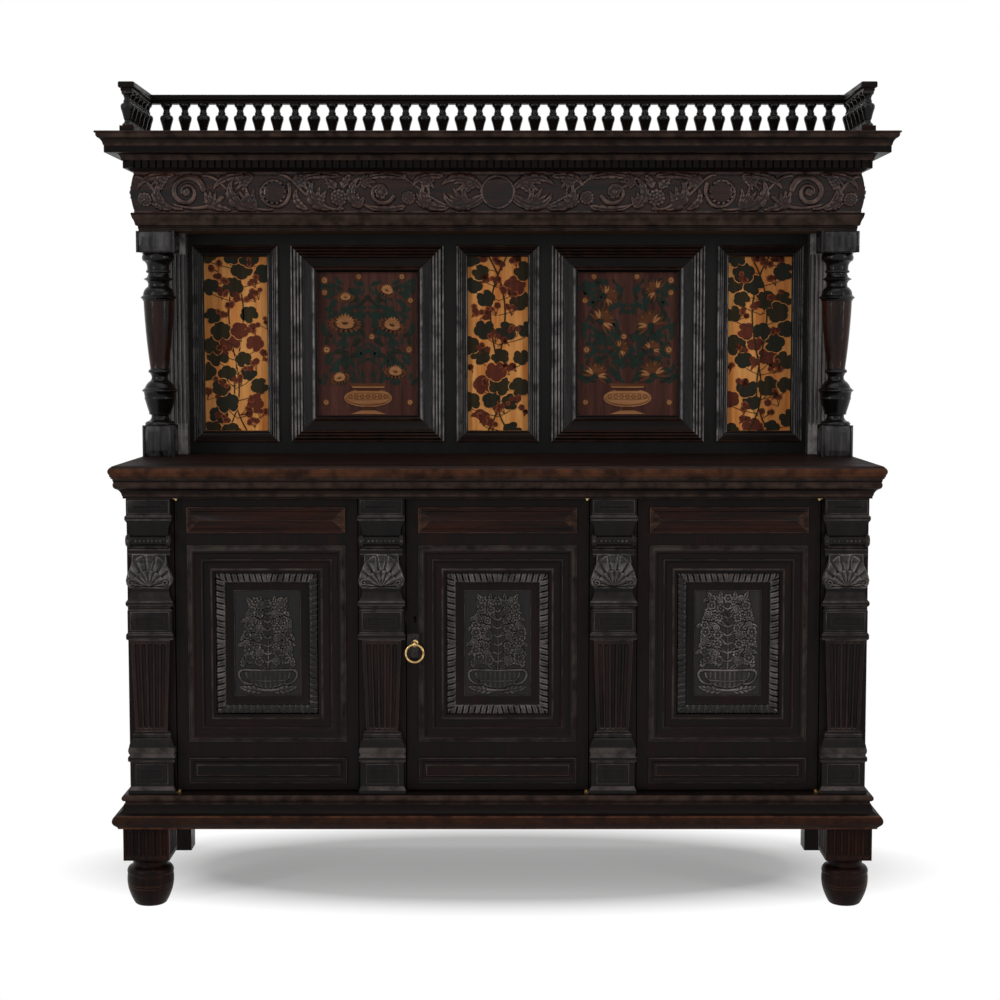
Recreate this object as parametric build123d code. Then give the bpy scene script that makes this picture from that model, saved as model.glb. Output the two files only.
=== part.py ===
"""Court cupboard: an oak sideboard with three doors and a columned upper stage.

Millimetres, +Z up, front towards -Y, origin on the floor under the middle of the object.
"""
import os

from build123d import *

# ---------------------------------------------------------------- driving sizes
# Plan
CARCASE_WIDTH = 1544.0
DEPTH = 550.0
BASE_PROJECTION = 30.0
CROWN_PROJECTION = 23.0
TOP_PROJECTION = 28.0
PILASTER_WIDTH = 98.0
PILASTER_THICKNESS = 24.0
STILE_THICKNESS = 30.0
SIDE_THICKNESS = 26.0
PANEL_THICKNESS = 12.0

# Heights, from the floor up
BUN_HEIGHT = 80.0
FOOT_NECK_HEIGHT = 22.0
FOOT_BLOCK_HEIGHT = 70.0
BASE_HEIGHT = 70.0
FRONT_HEIGHT = 620.0
CROWN_HEIGHT = 46.0
TOP_THICKNESS = 22.0
TOP_JOINT_SETBACK = 325.0
STAGE_HEIGHT = 498.0
ARCHITRAVE_HEIGHT = 39.0
FRIEZE_HEIGHT = 89.0
DENTIL_COURSE_HEIGHT = 23.0
CORNICE_HEIGHT = 59.0
GALLERY_BASE_HEIGHT = 14.0
BALUSTER_HEIGHT = 74.0
GALLERY_CAP_HEIGHT = 20.0

# Feet
FOOT_WIDTH = 96.0
FOOT_CENTRE_X = 735.0
FOOT_SETBACK = 22.0
BUN_RADIUS = 49.0
FOOT_NECK_RADIUS = 36.5
FOOT_BASE_RADIUS = 31.0
FOOT_FLUTES = 6
REAR_FOOT_WIDTH = 56.0
REAR_FOOT_FLUTES = 4
REAR_FLUTE_STOP = 90.0
FOOT_FLUTE_DEPTH = 2.0

# Carcase inside
BOARD_THICKNESS = 18.0
SHELF_HEIGHT = 530.0
SHELF_SETBACK = 100.0
CLEAT_SIZE = 22.0
BACK_SETBACK = 12.0
BACK_BOARDS = 5
SIDE_STILE_WIDTH = 64.0
SIDE_BOTTOM_RAIL = 122.0
SIDE_TOP_RAIL = 100.0

# Pilasters, with heights above their foot
SHAFT_BOTTOM = 131.0
SHAFT_TOP_INSET = 8.0
SHAFT_BOTTOM_INSET = 16.0
SHAFT_FLUTES = 5
FLUTE_PITCH = 12.6
FLUTE_WIDTH = 8.0
FLUTE_DEPTH = 2.5
FLUTE_STOP = 8.0
PILASTER_HEAD_HEIGHT = 116.0
SHELL_HEIGHT = 71.0
MIDDLE_BLOCK_HEIGHT = 109.0
SHELL_TOP = FRONT_HEIGHT - PILASTER_HEAD_HEIGHT
SHELL_BOTTOM = SHELL_TOP - SHELL_HEIGHT
SHAFT_TOP = SHELL_BOTTOM - MIDDLE_BLOCK_HEIGHT
SHELL_PROJECTION = 9.0
SHELL_RIBS = 5
RIB_DEPTH = 2.5
RIB_FAN = 80.0
RIB_SPREAD = 0.21
RIB_CENTRE_DROP = 12.0
ROLL_RADIUS = 15.0
ROLL_RISE = 28.0

# Doors
DOOR_THICKNESS = 25.0
DOOR_SETBACK = 3.0
DOOR_SIDE_GAP = 2.0
DOOR_END_GAP = 3.0
FIELD_WIDTH = 330.0
FIELD_HEIGHT = 414.0
FIELD_BOTTOM = 103.0
FIELD_MOULDING_WIDTH = 58.0
CARVED_BAND_WIDTH = 20.0
CARVED_BEVEL_WIDTH = 19.0
CARVED_BACK = 14.0
CARVED_SINK = 9.0
CARVED_BOARD = 8.0
SMALL_PANEL_HEIGHT = 54.0
SMALL_PANEL_TOP_MARGIN = 17.0
SMALL_PANEL_BOTTOM_MARGIN = 15.0

# Door pivots, fittings and their clearances
PIVOT_EDGE = 5.0
PIVOT_FORWARD = 7.0
PIVOT_RADIUS = 3.0
PIVOT_EYE_RADIUS = 4.6
PIVOT_CLEARANCE = 0.05
PIVOT_PLATE = 2.0
PIVOT_PLATE_REACH = 24.0
RING_RADIUS = 18.5
RING_WIRE_RADIUS = 2.4
RING_DROP = 51.0
RING_FORWARD = 19.0
RING_EYE_CLEARANCE = 1.4
PULL_PLATE_HEIGHT = 52.0
PULL_PLATE_THICKNESS = 1.6
BOSS_WIDTH = 9.0
BOSS_WALL = 3.0
STEM_RADIUS = 4.0
HANDLE_INSET = 17.0
KEYHOLE_HEIGHT = 607.0
KEY_RADIUS = 3.2
KEY_BIT_WIDTH = 2.8
KEY_BIT_DROP = 8.0
KEY_RISE = 3.0
LOCK_WIDTH = 44.0
LOCK_HEIGHT = 64.0
LOCK_DEPTH = 16.0
LOCK_PLATE = 2.0
LOCK_BOLT_HEIGHT = 26.0
LOCK_BOLT_THICKNESS = 6.0
LOCK_BOLT_CLEARANCE = 0.5
LOCK_THROW = 12.0
STRIKE_THICKNESS = 1.5
FLUSH_BOLT_RADIUS = 4.0
FLUSH_BOLT_LENGTH = 130.0
FLUSH_BOLT_CLEARANCE = 0.3
FLUSH_BOLT_REST = 2.0
FLUSH_BOLT_EDGE = 26.0
BOLT_KNOB_RADIUS = 3.0
BOLT_KNOB_LENGTH = 14.0
BOLT_GUIDE_INSET = 22.0
BOLT_GUIDE_HEIGHT = 12.0
BOLT_GUIDE_WALL = 3.0

# Upper stage
STAGE_SETBACK = 338.0
STAGE_WIDTH = 1576.0
COLUMN_WIDTH = 70.0
COLUMN_CENTRE_X = 754.0
BLOCK_FIELD_RISE = 5.0
UPPER_BLOCK_WIDTH = 84.0
UPPER_BLOCK_HEIGHT = 47.0
BACK_FRAME_SETBACK = 480.0
BACK_FRAME_THICKNESS = 30.0
POST_WIDTH = 53.0
POST_OUTER_X = 756.0
RESPOND_THICKNESS = 32.0
RESPOND_REVEAL = 2.0
RESPOND_GROOVES = 4
RESPOND_PITCH = 11.0
RESPOND_GROOVE = 4.5
RESPOND_DEPTH = 3.0
NARROW_PANEL_WIDTH = 145.0
CENTRE_PANEL_WIDTH = 138.0
LARGE_SIGHT_WIDTH = 228.0
LARGE_PANEL_CENTRE_X = 297.0
BACK_BOTTOM_RAIL = 52.0
BACK_TOP_RAIL = 50.0
NARROW_MOULDING_WIDTH = 25.0
LARGE_MOULDING_WIDTH = 60.0
BACK_PANEL_SINK = 8.0
BACK_PANEL_THICKNESS = 10.0
BOX_THICKNESS = 22.0
ARCHITRAVE_PROJECTION = 16.0
FRIEZE_PROJECTION = 18.0
CORNICE_PROJECTION = 81.0
DENTIL_PITCH = 16.0
DENTIL_GAP = 4.0
DENTIL_HEIGHT = 16.0
DENTIL_PROJECTION = 31.0
DENTIL_BACKING = 21.0
DENTIL_FOOT = 13.0

# Gallery
GALLERY_WIDTH = 1642.0
GALLERY_FRONT_SETBACK = 285.0
GALLERY_RAIL_WIDTH = 35.0
CORNER_BAY = 46.0
BACK_BALUSTERS = 37
RETURN_BALUSTERS = 5

# ---------------------------------------------------------------- levels and planes
Z_BLOCK = BUN_HEIGHT + FOOT_NECK_HEIGHT
Z_BASE = Z_BLOCK + FOOT_BLOCK_HEIGHT
Z_FLOOR = Z_BASE + BASE_HEIGHT
Z_CROWN = Z_FLOOR + FRONT_HEIGHT
Z_TOP_UNDER = Z_CROWN + CROWN_HEIGHT
Z_TOP = Z_TOP_UNDER + TOP_THICKNESS
Z_SOFFIT = Z_TOP + STAGE_HEIGHT
Z_FRIEZE = Z_SOFFIT + ARCHITRAVE_HEIGHT
Z_DENTILS = Z_FRIEZE + FRIEZE_HEIGHT
Z_CORNICE = Z_DENTILS + DENTIL_COURSE_HEIGHT
Z_GALLERY = Z_CORNICE + CORNICE_HEIGHT
Z_BALUSTERS = Z_GALLERY + GALLERY_BASE_HEIGHT
Z_CAP = Z_BALUSTERS + BALUSTER_HEIGHT

HALF = CARCASE_WIDTH / 2
Y_FRONT = -DEPTH / 2
Y_BACK = DEPTH / 2
Y_PILASTER = Y_FRONT + BASE_PROJECTION
Y_FRAME = Y_PILASTER + PILASTER_THICKNESS
Y_FRAME_BACK = Y_FRAME + STILE_THICKNESS
Y_DOOR = Y_FRAME + DOOR_SETBACK
Y_DOOR_BACK = Y_DOOR + DOOR_THICKNESS
Y_PIVOT = Y_DOOR - PIVOT_FORWARD
Y_STAGE = Y_FRONT + STAGE_SETBACK
Y_BACK_FRAME = Y_FRONT + BACK_FRAME_SETBACK
X_SIDE = HALF - SIDE_THICKNESS
Y_BACK_BOARD = Y_BACK - BACK_SETBACK - PANEL_THICKNESS

OPENING_WIDTH = (CARCASE_WIDTH - 4 * PILASTER_WIDTH) / 3
MUNTIN_INNER_X = OPENING_WIDTH / 2
MUNTIN_OUTER_X = MUNTIN_INNER_X + PILASTER_WIDTH
SIDE_OPENING_X = HALF - PILASTER_WIDTH
DOOR_CENTRE_X = (MUNTIN_OUTER_X + SIDE_OPENING_X) / 2
DOOR_HALF = OPENING_WIDTH / 2 - DOOR_SIDE_GAP
DOOR_BOTTOM = Z_FLOOR + DOOR_END_GAP
DOOR_TOP = Z_CROWN - DOOR_END_GAP

STAGE_HALF = STAGE_WIDTH / 2
LONG = 4000.0


# ---------------------------------------------------------------- shape helpers
def block(x0, x1, y0, y1, z0, z1):
    """A square-edged board between two corners."""
    return Pos((x0 + x1) / 2, (y0 + y1) / 2, (z0 + z1) / 2) * Box(x1 - x0, y1 - y0, z1 - z0)


def mirrored(shape):
    """The same piece on the other side of the middle."""
    return mirror(shape, about=Plane.YZ)


def both_sides(shapes):
    """Pieces and their mirror images."""
    return [*shapes, *[mirrored(shape) for shape in shapes]]


def section(start, *steps):
    """A closed outline. A step is a point, or a pair (through, end) for an arc."""
    edges = []
    here = start
    for step in steps:
        if isinstance(step[0], tuple):
            through, end = step
            edges.append(ThreePointArc(here, through, end))
        else:
            end = step
            edges.append(Line(here, end))
        here = end
    edges.append(Line(here, start))
    return make_face(Wire(edges))


def prism_up(points):
    """A tall prism on an outline in plan."""
    return extrude(make_face(Polyline(*points, close=True)), amount=LONG)


def prism_back(points):
    """A long prism along Y on an outline in elevation."""
    return extrude(Plane.XZ * make_face(Polyline(*points, close=True)), amount=LONG, both=True)


def wrapped_moulding(outline, half_width, front_y, back_y, reach):
    """A moulding on the front and both sides, in three mitred lengths.

    The outline is drawn as (projection, height).
    """
    span = half_width + reach
    front = Plane(origin=(span, front_y, 0), x_dir=(0, -1, 0), z_dir=(-1, 0, 0)) * outline
    front = extrude(front, amount=2 * span)
    front &= prism_up([(-span, front_y - reach), (span, front_y - reach),
                       (half_width, front_y), (-half_width, front_y)])
    side = Plane(origin=(half_width, back_y, 0), x_dir=(1, 0, 0), z_dir=(0, -1, 0)) * outline
    side = extrude(side, amount=back_y - front_y + reach)
    side &= prism_up([(span, front_y - reach), (span, back_y),
                      (half_width, back_y), (half_width, front_y)])
    return [front.solid(), side.solid(), mirrored(side.solid())]


def framed_moulding(outline, width, x0, x1, z0, z1, face_y):
    """Four mitred lengths round a rectangle. The outline is drawn as (inward, forward)."""
    lower = Plane(origin=(x0, face_y, z0), x_dir=(0, 0, 1), z_dir=(1, 0, 0)) * outline
    lower = extrude(lower, amount=x1 - x0)
    lower &= prism_back([(x0, z0), (x1, z0), (x1 - width, z0 + width), (x0 + width, z0 + width)])
    left = Plane(origin=(x0, face_y, z1), x_dir=(1, 0, 0), z_dir=(0, 0, -1)) * outline
    left = extrude(left, amount=z1 - z0)
    left &= prism_back([(x0, z0), (x0, z1), (x0 + width, z1 - width), (x0 + width, z0 + width)])
    upper = mirror(lower.solid(), about=Plane.XY.offset((z0 + z1) / 2))
    right = mirror(left.solid(), about=Plane.YZ.offset((x0 + x1) / 2))
    return [lower.solid(), left.solid(), upper, right]


def raised_field(x, z, width, height, face_y, rise, slope):
    """A field with sloping edges, standing forward of an upright face."""
    base = Pos(x, face_y, z) * (Plane.XZ * Rectangle(width, height))
    return extrude(base, amount=rise, taper=slope)


def grooves(x, z0, z1, face_y, count, pitch, width, depth):
    """Upright square grooves, as cutters for an upright face."""
    first = x - (count - 1) / 2 * pitch
    return [block(first + index * pitch - width / 2, first + index * pitch + width / 2,
                  face_y - depth, face_y + depth, z0, z1) for index in range(count)]


# ---------------------------------------------------------------- feet and base
def front_feet():
    """Fluted blocks on turned bun feet, each from one piece of wood."""
    y_centre = Y_FRONT + FOOT_SETBACK + FOOT_WIDTH / 2
    half = FOOT_WIDTH / 2
    square = block(-half, half, -half, half, Z_BLOCK, Z_BASE)
    reed_pitch = FOOT_WIDTH / (FOOT_FLUTES + 0.4)
    for quarter in range(4):
        cuts = grooves(0, Z_BLOCK + 10, Z_BASE - 6, -half, FOOT_FLUTES, reed_pitch, 0.6 * reed_pitch,
                       FOOT_FLUTE_DEPTH)
        square -= [Rot(0, 0, 90 * quarter) * cut for cut in cuts]
    neck = FOOT_NECK_RADIUS
    bun = BUN_RADIUS
    turned = section((0, 0), (FOOT_BASE_RADIUS, 0),
                     ((0.87 * bun, 0.29 * BUN_HEIGHT), (bun, 0.65 * BUN_HEIGHT)), (bun, 0.85 * BUN_HEIGHT),
                     (neck + 5, BUN_HEIGHT), (neck, BUN_HEIGHT + 5), (neck, BUN_HEIGHT + 9),
                     (half - 3, Z_BLOCK), (0, Z_BLOCK))
    turned = revolve(Plane.XZ * turned, axis=Axis.Z)
    foot = (square + turned).solid()
    return both_sides([Pos(FOOT_CENTRE_X, y_centre, 0) * foot])


def rear_feet():
    """Square fluted posts standing on the floor."""
    half = REAR_FOOT_WIDTH / 2
    post = block(-half, half, -half, half, 0, Z_BASE)
    for quarter in range(4):
        pitch = REAR_FOOT_WIDTH / (REAR_FOOT_FLUTES + 0.6)
        cuts = grooves(0, REAR_FLUTE_STOP, Z_BASE - 12, -half, REAR_FOOT_FLUTES, pitch, 0.6 * pitch,
                       FOOT_FLUTE_DEPTH)
        post -= [Rot(0, 0, 90 * quarter) * cut for cut in cuts]
    return both_sides([Pos(HALF - half, Y_BACK - half, 0) * post.solid()])


def base_moulding():
    """The bold lower moulding, with a bead at its top."""
    p = BASE_PROJECTION
    z = Z_BASE
    top = Z_FLOOR
    outline = section((0, z), (0.65 * p, z), (0.65 * p, z + 3), (0.9 * p, z + 10),
                      ((p, z + 18), (0.85 * p, z + 28)), (0.27 * p, top - 20), (0.2 * p, top - 14),
                      ((0.42 * p, top - 7), (0.2 * p, top)), (0, top))
    return wrapped_moulding(outline, HALF, Y_PILASTER, Y_BACK, p)


def front_rails():
    """The rails under and over the doors, which carry the mouldings and the pilasters."""
    return [block(-HALF, HALF, Y_PILASTER, Y_FRAME_BACK, Z_BASE, Z_FLOOR),
            block(-HALF, HALF, Y_PILASTER, Y_FRAME_BACK, Z_CROWN, Z_TOP_UNDER)]


# ---------------------------------------------------------------- carcase
def front_stiles():
    """Corner stiles and muntins behind the pilasters. The left muntin takes the lock bolt."""
    corner = block(SIDE_OPENING_X, HALF, Y_FRAME, Y_FRAME_BACK, Z_FLOOR, Z_CROWN)
    muntin = block(MUNTIN_INNER_X, MUNTIN_OUTER_X, Y_FRAME, Y_FRAME_BACK, Z_FLOOR, Z_CROWN)
    mortised = mirrored(muntin) - strike_recess() - bolt_mortise()
    return [corner, muntin, mirrored(corner), mortised.solid()]


def bolt_mortise():
    """The space that the thrown lock bolt enters."""
    room = 2 * LOCK_BOLT_CLEARANCE
    half_height = LOCK_BOLT_HEIGHT / 2 + room
    return block(-MUNTIN_INNER_X - LOCK_THROW - 2, -MUNTIN_INNER_X + 1, LOCK_BOLT_Y - room,
                 LOCK_BOLT_Y + LOCK_BOLT_THICKNESS + room, KEYHOLE_HEIGHT - half_height,
                 KEYHOLE_HEIGHT + half_height)


def strike_recess():
    """The shallow seat of the strike plate."""
    return block(-MUNTIN_INNER_X - STRIKE_THICKNESS, -MUNTIN_INNER_X, Y_DOOR + 4,
                 Y_FRAME_BACK - 2, KEYHOLE_HEIGHT - LOCK_HEIGHT / 2, KEYHOLE_HEIGHT + LOCK_HEIGHT / 2)


def side_frame():
    """Stiles, muntin and rails of the right side."""
    middle = (Y_FRAME_BACK + Y_BACK) / 2
    half_stile = SIDE_STILE_WIDTH / 2
    low = Z_BASE + SIDE_BOTTOM_RAIL
    high = Z_TOP_UNDER - SIDE_TOP_RAIL
    front = Y_FRAME_BACK + SIDE_STILE_WIDTH
    back = Y_BACK - SIDE_STILE_WIDTH
    return [block(X_SIDE, HALF, Y_FRAME_BACK, front, Z_BASE, Z_TOP_UNDER),
            block(X_SIDE, HALF, back, Y_BACK, Z_BASE, Z_TOP_UNDER),
            block(X_SIDE, HALF, front, back, Z_BASE, low),
            block(X_SIDE, HALF, front, back, high, Z_TOP_UNDER),
            block(X_SIDE, HALF, middle - half_stile, middle + half_stile, low, high)]


def side_panels():
    """Two tall fielded panels in each side frame."""
    middle = (Y_FRAME_BACK + Y_BACK) / 2
    half_stile = SIDE_STILE_WIDTH / 2
    low = Z_BASE + SIDE_BOTTOM_RAIL
    high = Z_TOP_UNDER - SIDE_TOP_RAIL
    inside = X_SIDE + (SIDE_THICKNESS - PANEL_THICKNESS) / 2 - 3
    panels = []
    for y0, y1 in ((Y_FRAME_BACK + SIDE_STILE_WIDTH, middle - half_stile),
                   (middle + half_stile, Y_BACK - SIDE_STILE_WIDTH)):
        board = block(inside, inside + PANEL_THICKNESS, y0, y1, low, high)
        rim = Plane(origin=(inside + PANEL_THICKNESS, (y0 + y1) / 2, (low + high) / 2),
                    x_dir=(0, 1, 0), z_dir=(1, 0, 0))
        field = extrude(rim * Rectangle(y1 - y0 - 40, high - low - 40), amount=5, taper=60)
        panels.append((board + field).solid())
    return both_sides(panels)


def carcase_bottom():
    return [block(-X_SIDE, X_SIDE, Y_FRAME_BACK, Y_BACK_BOARD, Z_FLOOR - BOARD_THICKNESS, Z_FLOOR)]


def back_boards():
    """Upright boards that close the back."""
    width = 2 * X_SIDE / BACK_BOARDS
    return [block(-X_SIDE + index * width, -X_SIDE + (index + 1) * width, Y_BACK_BOARD,
                  Y_BACK_BOARD + PANEL_THICKNESS, Z_BASE, Z_TOP_UNDER)
            for index in range(BACK_BOARDS)]


def shelf():
    return [block(-X_SIDE, X_SIDE, Y_FRONT + SHELF_SETBACK, Y_BACK_BOARD, SHELF_HEIGHT,
                  SHELF_HEIGHT + BOARD_THICKNESS)]


def shelf_cleats():
    """Battens fixed to the sides, under the shelf's ends."""
    return both_sides([block(X_SIDE - CLEAT_SIZE, X_SIDE, Y_FRONT + SHELF_SETBACK + 20,
                             Y_BACK_BOARD, SHELF_HEIGHT - CLEAT_SIZE, SHELF_HEIGHT)])


def crown_moulding():
    """The moulding under the sideboard's top."""
    p = CROWN_PROJECTION
    z = Z_CROWN
    top = Z_TOP_UNDER
    outline = section((0, z), (0.1 * p, z), (0.1 * p, z + 5), ((0.25 * p, z + 14), (0.55 * p, z + 21)),
                      ((0.75 * p, z + 27), (0.8 * p, z + 34)), (0.85 * p, top - 6),
                      (p, top - 3), (p, top), (0, top))
    return wrapped_moulding(outline, HALF, Y_PILASTER, Y_BACK, p)


def sideboard_top():
    """Front and rear boards, joined edge to edge, with a rounded nose on three sides."""
    p = TOP_PROJECTION
    z = Z_TOP_UNDER
    nose = section((0, z), (p - 3, z), (p - 3, z + 4), ((p, z + 0.5 * TOP_THICKNESS), (p - 3, Z_TOP - 4)),
                   (p - 10, Z_TOP), (0, Z_TOP))
    lengths = wrapped_moulding(nose, HALF, Y_PILASTER, Y_BACK, p)
    whole = block(-HALF, HALF, Y_PILASTER, Y_BACK, z, Z_TOP) + lengths
    joint = Y_FRONT + TOP_JOINT_SETBACK
    return [(whole & block(-LONG, LONG, joint - LONG, joint, 0, LONG)).solid(),
            (whole & block(-LONG, LONG, joint, joint + LONG, 0, LONG)).solid()]


# ---------------------------------------------------------------- pilasters
def stepped_body(steps):
    """A body whose front and sides step in alike. Steps are drawn as (inset, height)."""
    half = PILASTER_WIDTH / 2

    def edge(reach):
        def place(step):
            if isinstance(step[0], tuple):
                return tuple(place(point) for point in step)
            return (reach - step[0], step[1])
        first, last = steps[0], steps[-1]
        points = [place(step) for step in steps]
        return section((0, first[1]), *points, (0, last[1]))

    right = extrude(Plane.XZ * edge(half), amount=LONG, both=True)
    across = right + mirrored(right)
    forward = Plane(origin=(-LONG, 0, 0), x_dir=(0, -1, 0), z_dir=(-1, 0, 0)) * edge(PILASTER_THICKNESS)
    return across & extrude(forward, amount=2 * -LONG)


def pilaster_foot():
    """The stepped plinth block with its flared moulding and collar."""
    collar = SHAFT_BOTTOM - 11
    outline = stepped_body([(0, 0), (0, 8), (4, 16), (4, 67), (0, 70), (0, 78), (3, 83), (2, 98),
                            ((5, collar - 11), (12, collar - 2)), (9, collar), (9, SHAFT_BOTTOM),
                            (20, SHAFT_BOTTOM)])
    return outline + raised_field(0, 42, PILASTER_WIDTH - 36, 36, -PILASTER_THICKNESS + 4, 4, 30)


def pilaster_head():
    """From the shaft up: a fielded block, the shell's backing, the roll's bed and a head block."""
    base = SHAFT_TOP
    bed = SHELL_TOP + 13
    cove = SHELL_TOP + ROLL_RISE + 16
    outline = stepped_body([(0, base), (0, base + 12), (3, base + 17), (3, base + 63), (6, base + 64),
                            (6, base + 70), (0, base + 74), (0, base + 82), (9, base + 100),
                            (9, SHELL_BOTTOM + 4), (18, SHELL_BOTTOM + 8), (18, SHELL_TOP - 6),
                            (5, SHELL_TOP), (5, bed - 2), (9, bed), (9, cove),
                            ((7, cove + 14), (1, cove + 26)), (0, cove + 28), (0, cove + 35),
                            (3, cove + 37), (3, FRONT_HEIGHT)])
    face = -PILASTER_THICKNESS + 3
    low_field = raised_field(0, base + 40, PILASTER_WIDTH - 20, 34, face, 3, 50)
    high_field = raised_field(0, FRONT_HEIGHT - 18, PILASTER_WIDTH - 14, 30, face, 4, 55)
    return outline + low_field + high_field


def pilaster_shaft():
    """The shaft widens and comes forward towards its top, and its flutes lean with its sides."""
    half = PILASTER_WIDTH / 2
    depth = PILASTER_THICKNESS
    wide = Pos(0, 0, SHAFT_TOP) * Rectangle(2 * (half - SHAFT_TOP_INSET), 2 * (depth - 3))
    narrow = Pos(0, 0, SHAFT_BOTTOM) * Rectangle(2 * (half - SHAFT_BOTTOM_INSET), 2 * (depth - 7))
    shaft = loft([narrow, wide]) & block(-half, half, -depth, 0, SHAFT_BOTTOM, SHAFT_TOP)
    middle = (SHAFT_BOTTOM + SHAFT_TOP) / 2
    reach = (SHAFT_TOP - SHAFT_BOTTOM) / 2 - FLUTE_STOP
    flute = block(-FLUTE_WIDTH / 2, FLUTE_WIDTH / 2, -depth, -depth + 5 + FLUTE_DEPTH, -reach, reach)
    for index in range(SHAFT_FLUTES):
        place = index - (SHAFT_FLUTES - 1) / 2
        shaft -= Pos(place * FLUTE_PITCH, 0, middle) * Rot(1.2, 1.2 * place, 0) * flute
    return shaft


def shell(inset):
    """The console's bulging bell form, made smaller all round by an inset."""
    half = PILASTER_WIDTH / 2 - inset
    depth = PILASTER_THICKNESS - inset
    low = SHELL_BOTTOM
    high = SHELL_TOP
    bell = section((0, low), (half - 8, low), (half - 1, low + 14), (half - 5, low + 32),
                   (half - 13, high - 18), (half - 14, high), (0, high))
    bell = extrude(Plane.XZ * bell, amount=depth + SHELL_PROJECTION + 3)
    out = depth + SHELL_PROJECTION
    belly = section((0, low), (depth - 4, low), (out - 2, low + 9), (out, low + 22), (out - 5, low + 36),
                    (depth - 5, high - 14), (depth - 6, high), (0, high))
    belly = Plane(origin=(half, 0, 0), x_dir=(0, -1, 0), z_dir=(-1, 0, 0)) * belly
    return (bell + mirrored(bell)) & extrude(belly, amount=2 * half)


def shell_console():
    """A scallop shell: ribs that spread from its foot over a thinner shell."""
    length = 1.5 * (SHELL_TOP - SHELL_BOTTOM)
    half_width = RIB_SPREAD * length / 2
    ribs = []
    for index in range(SHELL_RIBS):
        lean = (index - (SHELL_RIBS - 1) / 2) * RIB_FAN / SHELL_RIBS
        wedge = Polyline((0, 0), (-half_width, length), (half_width, length), close=True)
        wedge = extrude(Plane.XZ * make_face(wedge), amount=2 * PILASTER_THICKNESS)
        ribs.append(Pos(0, 0, SHELL_BOTTOM - RIB_CENTRE_DROP) * Rot(0, lean, 0) * wedge)
    return shell(RIB_DEPTH) + (shell(0) & Compound(children=ribs))


def pilaster():
    """A terminal pilaster with its back at y = 0 and its foot at z = 0."""
    half = PILASTER_WIDTH / 2
    depth = PILASTER_THICKNESS
    z_roll = SHELL_TOP + ROLL_RISE
    roll = Pos(0, ROLL_RADIUS - depth - 5, z_roll) * Rot(0, 90, 0) * Cylinder(ROLL_RADIUS, PILASTER_WIDTH)
    roll &= block(-half, half, -2 * depth, 0, z_roll - ROLL_RADIUS, z_roll + ROLL_RADIUS)
    whole = pilaster_foot() + pilaster_head() + pilaster_shaft() + shell_console() + roll
    return whole.solid()


def pilaster_pair(centre_x):
    return both_sides([Pos(centre_x, Y_FRAME, Z_FLOOR) * pilaster()])


# ---------------------------------------------------------------- doors
FIELD_Z0 = DOOR_BOTTOM + FIELD_BOTTOM
FIELD_Z1 = FIELD_Z0 + FIELD_HEIGHT
CARVED_HALF = FIELD_WIDTH / 2 - FIELD_MOULDING_WIDTH
CARVED_Z0 = FIELD_Z0 + FIELD_MOULDING_WIDTH
CARVED_Z1 = FIELD_Z1 - FIELD_MOULDING_WIDTH
SIGHT_BORDER = CARVED_BAND_WIDTH + CARVED_BEVEL_WIDTH
LOCK_BOLT_Y = Y_DOOR_BACK - LOCK_DEPTH + 5
FREE_EDGE_X = -DOOR_HALF


def door_frame():
    """Stiles and rails of a door centred on x = 0, hinge side at +X."""
    hinge_stile = block(CARVED_HALF, DOOR_HALF, Y_DOOR, Y_DOOR_BACK, DOOR_BOTTOM, DOOR_TOP)
    for z0, z1 in ((DOOR_BOTTOM, DOOR_BOTTOM + PIVOT_PLATE), (DOOR_TOP - PIVOT_PLATE, DOOR_TOP)):
        hinge_stile -= pivot_plate(z0, z1)
    free_stile = block(-DOOR_HALF, -CARVED_HALF, Y_DOOR, Y_DOOR_BACK, DOOR_BOTTOM, DOOR_TOP)
    return [hinge_stile.solid(), free_stile,
            block(-CARVED_HALF, CARVED_HALF, Y_DOOR, Y_DOOR_BACK, DOOR_BOTTOM, CARVED_Z0),
            block(-CARVED_HALF, CARVED_HALF, Y_DOOR, Y_DOOR_BACK, CARVED_Z1, DOOR_TOP)]


def field_moulding():
    """The stepped moulding round a door's middle, mitred at its corners."""
    w = FIELD_MOULDING_WIDTH
    outline = section((0, 0), (0, 3), (4, 3.5), ((7, 9), (12, 11)), (16, 11), (17, 8), (29, 4.5),
                      (30, 6.5), (34, 6.5), (36, 3), (w - 9, 3), (w - 6, 5.5), (w - 3, 3), (w, 0))
    return framed_moulding(outline, w, -FIELD_WIDTH / 2, FIELD_WIDTH / 2, FIELD_Z0, FIELD_Z1, Y_DOOR)


def carved_frame():
    """The leaf-carved band and its inner slope, mitred, in the door frame's opening."""
    band = CARVED_BAND_WIDTH
    outline = section((0, -CARVED_BACK), (0, -3), ((band / 2, 2), (band, -3)), (band + 2, -5),
                      (SIGHT_BORDER, -CARVED_SINK), (SIGHT_BORDER, -CARVED_BACK))
    return framed_moulding(outline, SIGHT_BORDER, -CARVED_HALF, CARVED_HALF, CARVED_Z0, CARVED_Z1,
                           Y_DOOR)


def carved_panel():
    """The panel behind the carved frame, with its raised middle."""
    front = Y_DOOR + CARVED_BACK
    inner = CARVED_HALF - SIGHT_BORDER
    board = block(-CARVED_HALF, CARVED_HALF, front, front + CARVED_BOARD, CARVED_Z0, CARVED_Z1)
    middle = block(-inner, inner, Y_DOOR + CARVED_SINK, front, CARVED_Z0 + SIGHT_BORDER,
                   CARVED_Z1 - SIGHT_BORDER)
    return [(board + middle).solid()]


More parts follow.
